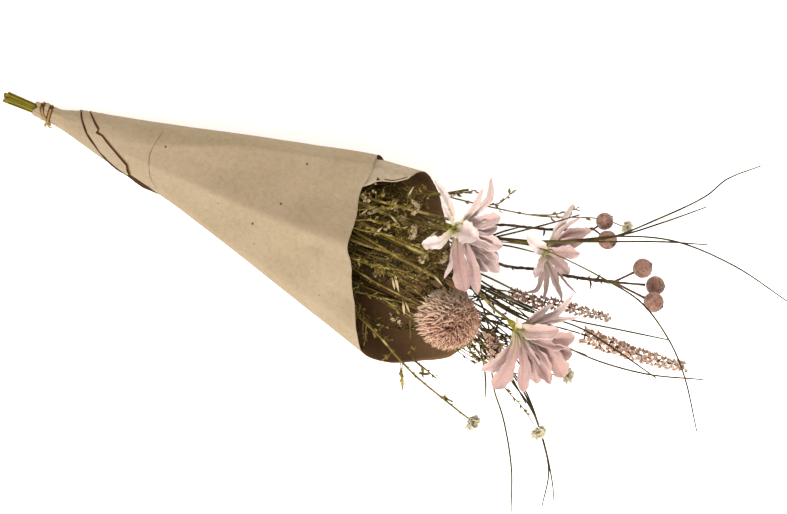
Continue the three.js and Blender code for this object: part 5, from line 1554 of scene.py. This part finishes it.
# Pale seed heads: sprig, middle, reach, how many
SEEDS = [
    (1, seen(366, 198, 74), 6.5, 26), (1, seen(371, 211, 76), 4, 12), (1, seen(386, 227, 80), 3, 9),
    (1, seen(421.5, 259, 84), 3.2, 10), (1, seen(401, 219, 78), 4, 10), (3,
                                                                         seen(393, 320, 36), 5, 12),
    (1, seen(392, 206, 76), 4, 9), (3, seen(374, 277, 52), 4.5, 10), (1, seen(430, 226, 80), 3, 7),
]
# Long pale leaves: sprig, root, tip, half width
LONG_LEAVES = [
    (1, seen(432, 274.5, 82), seen(442, 286, 84), 1.3),
    (3, seen(393, 270, 70), seen(398, 292, 62), 1.7),
    (3, seen(391, 276, 66), seen(394, 290, 60), 1.3),
    (3, seen(402, 300, 56), seen(403.6, 315, 50), 1.6),
    (3, seen(404, 301, 56), seen(409, 313, 52), 1.2),
    (1, seen(407, 197, 82), seen(413, 187, 84), 1.0),
    (1, seen(373, 236, 78), seen(382, 227, 82), 1.3), (1, seen(357, 217, 76),
                                                       seen(368, 209, 80), 1.0),
    (1, seen(428, 238, 82), seen(437, 231, 84), 1.1), (1, seen(388, 214, 80),
                                                       seen(399, 226, 82), 1.1),
]
UP = np.array([0, 0, 1.0])
COVERED_X, COVERED_DEPTH = 304, 8  # behind the mouth's edge and this near the paper
TWIG_AHEAD, TWIG_REACH = (10, 50), 34  # how far a leafy twig may run from its stem
OUT_OF_REACH = 0.1  # what a goal that no stem can reach counts towards the number of twigs


def leaves_along(form, path, start, end, count, r, size=1.0, slot=0, dim=False):
    """Small leaves in a spiral along part of a path, with a bud beside about half of them."""
    for i in range(count):
        t = start + (end - start) * (i + 0.5) / count
        c, f = path.at(t), path.ahead(t)
        u, v = square_to(f)
        a = i * 2.4 + r.random()
        out = turned(u, v, a)
        tip = c + (out * (2.0 + 2.6 * r.random()) + f * (2.0 + 3.0 * r.random())) * size
        face = unit(f * 0.7 - out * 0.2 + np.array([0, 0, 0.8]) + r.normal(size=3) * 0.3)
        half, fold, tint = (0.75 + 0.6 * r.random()) * size, r.uniform(-0.25, 0.25), r.random()
        # dim leaves mostly get the shaded copy: painted shade
        shaded = 2 if dim and r.random() < 0.8 else slot
        covered = c[0] < COVERED_X and c[2] > cone_height(c[0], c[1], 0.0) - COVERED_DEPTH
        if not covered:
            leaf(form, c, tip, half, face, fold, tint, slot=shaded, rows=4)
        if r.random() < 0.45:
            side = c + (u * r.normal() + v * r.normal()) * 1.6 * size + f * 2.4 * size
            if covered:
                continue
            tube(form, Line([c, (c + side) / 2, side], per=3), even(0.2), 4, 1.8, tint=0.4,
                 slot=slot)
            bud(form, side - f * 0.4, side + f * 1.5 * size, 0.62 * size, r.random(), 5, 4,
                slot=slot)


def sprigs():
    for number, (cut, place, mouth, onward, radii, twigs, counts) in enumerate(SPRIGS, 1):
        form = Form()
        r = np.random.default_rng(90 + number)
        main = stem_line(cut, place, mouth, onward)
        paths = [Line(main)]
        stem(form, main, radii, slot=1, sides=10, ribs=5)
        for twig in twigs:
            path = Line(twig)
            paths.append(path)
            tube(form, path, spread([0.7, 0.56, 0.38]), 7, 2.0, slot=1, wobble=knobs(number, 0.12))
        for path, (start, end, count) in zip(paths, counts):
            leaves_along(form, path, start, end, int(count * 1.5), r)
        for radius, tone, points in of_number(SIDE_STEMS, number):
            path = Line([from_trunk(paths[0], 160), *points])
            paths.append(path)
            tube(form, path, lambda t: radius * (0.8 + 0.2 * t), 8, 2.8, ribs=4, rib_depth=0.1,
                 tint=tone, slot=1)
            leaves_along(form, path, 0.72, 0.98, 4, r, 0.8)
        for root, tip, half in of_number(LONG_LEAVES, number):
            leaf(form, root, tip, half * 0.62, UP, 0.12, 0.3, rows=10, cols=5, slot=4)
            foot = nearest(paths, root, 200)
            tube(form, Line([foot, (foot + root) / 2 + UP * 0.3, root], per=4),
                 lambda t: 0.4 - 0.1 * t, 6, 1.2, tint=0.9, slot=1)
        for row in of_number(CROWD, number):
            crowd(form, paths, *row, r)
        for middle, reach, count in of_number(SEEDS, number):
            seeds(form, paths, np.array(middle), reach, count, r)
        form.make(f"sprig_{number}", [LEAF, STEM, DARK_LEAF, BROWN_STEM, WHITE], "leaf",
                  [f"leafy_sprig_{number}"])


def nearest(paths, place, steps, last_x=math.inf):
    """The point of these paths that is nearest to a place, among those before last_x."""
    best = None
    for path in paths:
        spots = path.at(np.linspace(0, 1, steps))
        spots = spots[spots[:, 0] < last_x]
        if len(spots):
            spot = spots[np.linalg.norm(spots - place, axis=1).argmin()]
            if best is None or np.linalg.norm(spot - place) < np.linalg.norm(best - place):
                best = spot
    return best


def from_trunk(trunk, x):
    """The point of a stem at about this X."""
    spots = trunk.at(np.linspace(0, 1, 300))
    return spots[np.abs(spots[:, 0] - x).argmin()]


def crowd(form, paths, xs, ys, zs, bare, leafy, r):
    """Twigs that fill the mouth, each from a stem of its own sprig."""
    for _ in range(bare):
        goal = np.array([r.uniform(*xs), r.uniform(*ys), r.uniform(*zs)])
        root = from_trunk(paths[0], min(r.uniform(110, 200), goal[0] - 40) + (goal[0] > 410) * 180)
        middle = root + (goal - root) * 0.6 + r.normal(size=3) * 1.5
        path = Line([root, middle, goal])
        paths.append(path)
        size = r.uniform(0.5, 0.95)
        tube(form, path, lambda t: size * (1 - 0.35 * t), 6, 3.4, ribs=3, rib_depth=0.1,
             tint=r.random(), slot=int(r.choice([1, 3, 3])))
        # their leaves are mostly the shaded copy: painted shade
        leaves_along(form, path, 0.7, 1.0, 3, r, 0.9, dim=True)
    made = 0
    while made < leafy:
        goal = np.array([r.uniform(*xs), r.uniform(*ys), r.uniform(*zs)])
        high = (goal[2] - zs[0]) / (zs[1] - zs[0])
        path = paths[r.integers(len(paths))]
        c = path.at(np.linspace(0, 1, 120))
        behind = goal[0] - c[:, 0]
        ok = (behind > TWIG_AHEAD[0]) & (behind < TWIG_AHEAD[1]) & (c[:, 0] > 220)
        gap = np.linalg.norm(c - goal, axis=1) + np.where(ok, 0, 999)
        if gap.min() > TWIG_REACH:
            made += OUT_OF_REACH
            continue
        root = c[gap.argmin()]
        middle = (root + goal) / 2 + r.normal(size=3) * 2.2
        twig = Line([root, middle, goal])
        # twigs that end low in the mouth are mostly dim, with shaded leaves and a brown stem:
        # painted shade
        dim = r.random() > high * 0.7 and xs[0] < 410
        tube(form, twig, spread([0.45, 0.4, 0.26]), 5, 2.7, slot=3 if dim else 1,
             wobble=knobs(int(made) + 7, 0.15))
        leaves_along(form, twig, 0.2, 1.0, 6 + int(r.integers(7)), r, r.uniform(0.65, 1.0),
                     dim=dim)
        bud(form, goal - [0.6, 0, 0], goal + [1.8, r.normal() * 0.5, 0.4], 0.8, r.random())
        made += 1


def seeds(form, paths, middle, reach, count, r):
    """A loose head of small pale florets on fine stalks."""
    root = nearest(paths, middle, 160, middle[0] - 2)
    fork = middle - unit(middle - root) * reach
    tube(form, Line([root, (root + fork) / 2 + [0, 0, 0.6], fork]), lambda t: 0.35 - 0.1 * t, 5,
         1.5, slot=1)
    for _ in range(count):
        end = middle + r.normal(size=3) * reach * 0.45
        tube(form, Line([fork, (fork + end) / 2 + [0, 0, 0.4], end], per=4), even(0.18), 4, 1.6,
             slot=1)
        small_floret(form, end, unit(end - fork), 1.2 + 0.7 * r.random(), r, 4)


def small_floret(form, at, axis, size, r, slot):
    """A bud with four tiny petals."""
    u, v = square_to(axis)
    bud(form, at - axis * size * 0.5, at + axis * size * 0.4, size * 0.4, 0.3, 5, 4, slot=slot)
    for k in range(4):
        a = 2 * math.pi * (k + 0.5 * r.random()) / 4
        out = turned(u, v, a)
        tip = at + out * size * (0.8 + 0.3 * r.random()) + axis * size * (0.3 + 0.5 * r.random())
        leaf(form, at, tip, size * 0.42, unit(axis + np.array([0, 0, 0.5])), -0.1, r.random(),
             slot=slot, rows=4)


sprigs()

CREAM_LINE = [[327, -54, 50], [348, -62, 48], [368, -72, 47], [388, -81, 44], [420, -91, 38]]
CREAM_END = [440.6, -96.9, 34.3]
CREAM_TWIGS = [([372, -73.6, 46.4], [379, -88, 42]), ([374, -74.4, 46.2], [383, -96, 38]),
               ([385, -79.5, 44.5], [398, -76, 47]), ([410, -88, 40], [422, -89, 44]),
               ([364, -70, 47], [360, -78, 45]), ([333, -56, 49.6], seen(361, 347, 40)),
               ([336, -57, 49.2], seen(364, 343, 44))]


def cream_stem():
    form = Form()
    r = np.random.default_rng(123)
    main = stem_line(3.5, groove(210), [300, -45, 50], [*CREAM_LINE, CREAM_END])
    stem(form, main, [0.5, 0.5, 0.7, 1.05, 0.75], sides=10, ribs=5)
    for root, tip in CREAM_TWIGS:
        root, tip = np.array(root, float), np.array(tip, float)
        path = Line([root, (root + tip) / 2 + [0, 0, 1], tip])
        tube(form, path, spread([0.4, 0.34, 0.25]), 5, 1.5)
        leaves_along(form, path, 0.3, 1.0, 4, r, 0.8, slot=1)
        leaf(form, root + (tip - root) * 0.35, tip, 1.3, [0, 0, 1], 0.1, r.random(), slot=1)
    leaves_along(form, Line([*CREAM_LINE, CREAM_END]), 0.05, 0.95, 12, r, 0.7, slot=1)
    form.make("cream_flower_stalk", [STEM, LEAF], "green_stem", ["cream_stem"])


cream_stem()

# Name, end of its stem, direction it faces, reach, petals, material and slot
SMALL_FLOWERS = [
    ("cream_flower_1", CREAM_END, [0.94, -0.32, -0.19], 8.8, 10, CREAM, "cream_petal"),
    ("cream_flower_2", SPRIG_ENDS["lower"], [0.79, -0.6, 0.09], 8.8, 10, CREAM, "cream_petal"),
    ("cream_flower_3", SPRIG_ENDS["raised"], [0.88, 0.37, 0.29], 7.6, 9, CREAM, "cream_petal"),
    ("cream_flower_4", SPRIG_ENDS["upper"], [0.95, 0.08, 0.3], 7.0, 9, CREAM, "cream_petal"),
    ("white_flower_1", SPRIG_ENDS["middle"], [1, 0.06, 0], 7, 9, WHITE, "white_petal"),
    ("white_flower_2", SPRIG_ENDS["mouth"], [0.96, 0, -0.27], 6, 8, WHITE, "white_petal"),
    ("white_flower_3", SPRIG_ENDS["inner"], [0.94, 0.34, 0], 6.5, 9, WHITE, "white_petal"),
]
SMALL_PETAL = spread([0.25, 0.8, 1.0, 0.75, 0.1])


def small_flower(name, end, facing, reach, petals, paint, slot, seed):
    """A cream flower with three rings of petals, or a whitish cluster of florets."""
    form = Form()
    r = np.random.default_rng(seed)
    axis = unit(facing)
    foot = np.array(end, float) + axis * 0.3
    heart = foot + axis * reach * 0.45
    axis = unit(axis + np.array([0, 0, 0.0 if paint is WHITE else 1.1]))
    u, v = square_to(axis)
    bud(form, foot, heart + axis * reach * 0.15, reach * 0.24, 0.3, 10, 8, slot=1)
    for k in range(7):
        a = 2 * math.pi * k / 7
        out = turned(u, v, a)
        leaf(form, foot + axis * 0.5, heart + out * reach * 0.45, reach * 0.1, axis, 0.05,
             r.random(), slot=1)
    if paint is WHITE:
        white_cluster(form, foot, axis, reach, r)
    else:
        cream_petals(form, heart, axis, reach, petals, r)
    form.make(f"{name}_head", [paint, LEAF], slot, [name])


def white_cluster(form, foot, axis, reach, r):
    u, v = square_to(axis)
    for _ in range(26):
        out = unit(axis * 0.9 + u * r.normal() * 0.8 + v * r.normal() * 0.8)
        tip = foot + axis * reach * 0.2 + out * reach * (0.55 + 0.55 * r.random())
        tube(form, Line([foot, (foot + tip) / 2, tip], per=4), even(0.18), 4, 1.5, slot=1)
        small_floret(form, tip, out, 1.5 + 0.8 * r.random(), r, 0)


def cream_petals(form, heart, axis, reach, petals, r):
    u, v = square_to(axis)
    rings = ((petals, 1.05, 0.12), (petals - 1, 0.85, 0.28), (petals - 2, 0.55, 0.42))
    for ring, (count, wide, lift) in enumerate(rings):
        for k in range(count):
            a = 2 * math.pi * (k + 0.4 * ring + 0.6 * r.random()) / count
            out = turned(u, v, a)
            tip = heart + out * reach * wide * (0.75 + 0.25 * r.random())
            tip = tip + axis * reach * lift * (0.7 + 0.5 * r.random())
            root = heart + out * reach * 0.08
            middle = (root + tip) / 2 + out * reach * 0.14
            petal(form, [root, middle, tip],
                  lambda t: np.maximum(SMALL_PETAL(t) * reach * 0.27, 0.2),
                  unit(axis + r.normal(size=3) * 0.2), 9, 7, 0.25, 0.22, 1.4, 0.3,
                  0.5 * r.random(), r.random() * 3, pleat=0.08)
    for _ in range(14):
        out = u * r.normal() + v * r.normal()
        bud(form, heart, heart + axis * reach * (0.2 + 0.2 * r.random()) + out * reach * 0.09,
            0.34, 0.9, 5, 4, slot=1)


for index, row in enumerate(SMALL_FLOWERS):
    small_flower(*row, seed=60 + index)


# Floor, light and camera


def stage():
    bpy.ops.mesh.primitive_plane_add(size=30, location=(0.1, 0, -0.0002))
    floor = bpy.context.object
    floor.name = "floor"
    p = Paint("pale_floor", Roughness=0.9, Specular_IOR_Level=0.1)
    p.surface.inputs["Base Color"].default_value = (0.86, 0.86, 0.86, 1)
    floor.data.materials.append(p.material)
    world = bpy.data.worlds.new("studio")
    world.use_nodes = True
    world.node_tree.nodes["Background"].inputs["Color"].default_value = (1, 0.972, 0.94, 1)
    world.node_tree.nodes["Background"].inputs["Strength"].default_value = 1.14
    bpy.context.scene.world = world


LIT_MIDDLE = np.array([0.1, 0, 0.05])
# Name, direction it comes from, distance, diameter, energy and colour
LAMPS = [("key", (0.22, -1.0, 0.88), 2.6, 1.3, 172, (1.0, 0.985, 0.96)),
         ("fill", (-0.1, 1.0, 0.55), 2.6, 2.0, 70, (1.0, 0.95, 0.88))]
LENS = 249.87


def area(name, towards, distance, size, energy, colour):
    light = bpy.data.lights.new(name, "AREA")
    light.shape, light.size, light.energy, light.color = "DISK", size, energy, colour
    lamp = bpy.data.objects.new(name, light)
    lamp.location = LIT_MIDDLE + unit(towards) * distance
    lamp.rotation_mode = "QUATERNION"
    lamp.rotation_quaternion = Vector(unit(towards)).to_track_quat("Z", "Y")
    lamp.visible_camera = False
    bpy.context.scene.collection.objects.link(lamp)


def camera():
    data = bpy.data.cameras.new("camera")
    data.lens, data.sensor_width = LENS, 36
    data.clip_start, data.clip_end = 0.1, 60
    eye = bpy.data.objects.new("camera", data)
    eye.location = metres([EYE_X, EYE_Y, FLOWERS_Z + EYE_DISTANCE])
    eye.rotation_euler = (0, 0, math.atan2(PHOTO_SIN, PHOTO_COS))
    bpy.context.scene.collection.objects.link(eye)
    bpy.context.scene.camera = eye


stage()
for lamp in LAMPS:
    area(*lamp)
camera()
bpy.context.scene.view_settings.view_transform = "Standard"
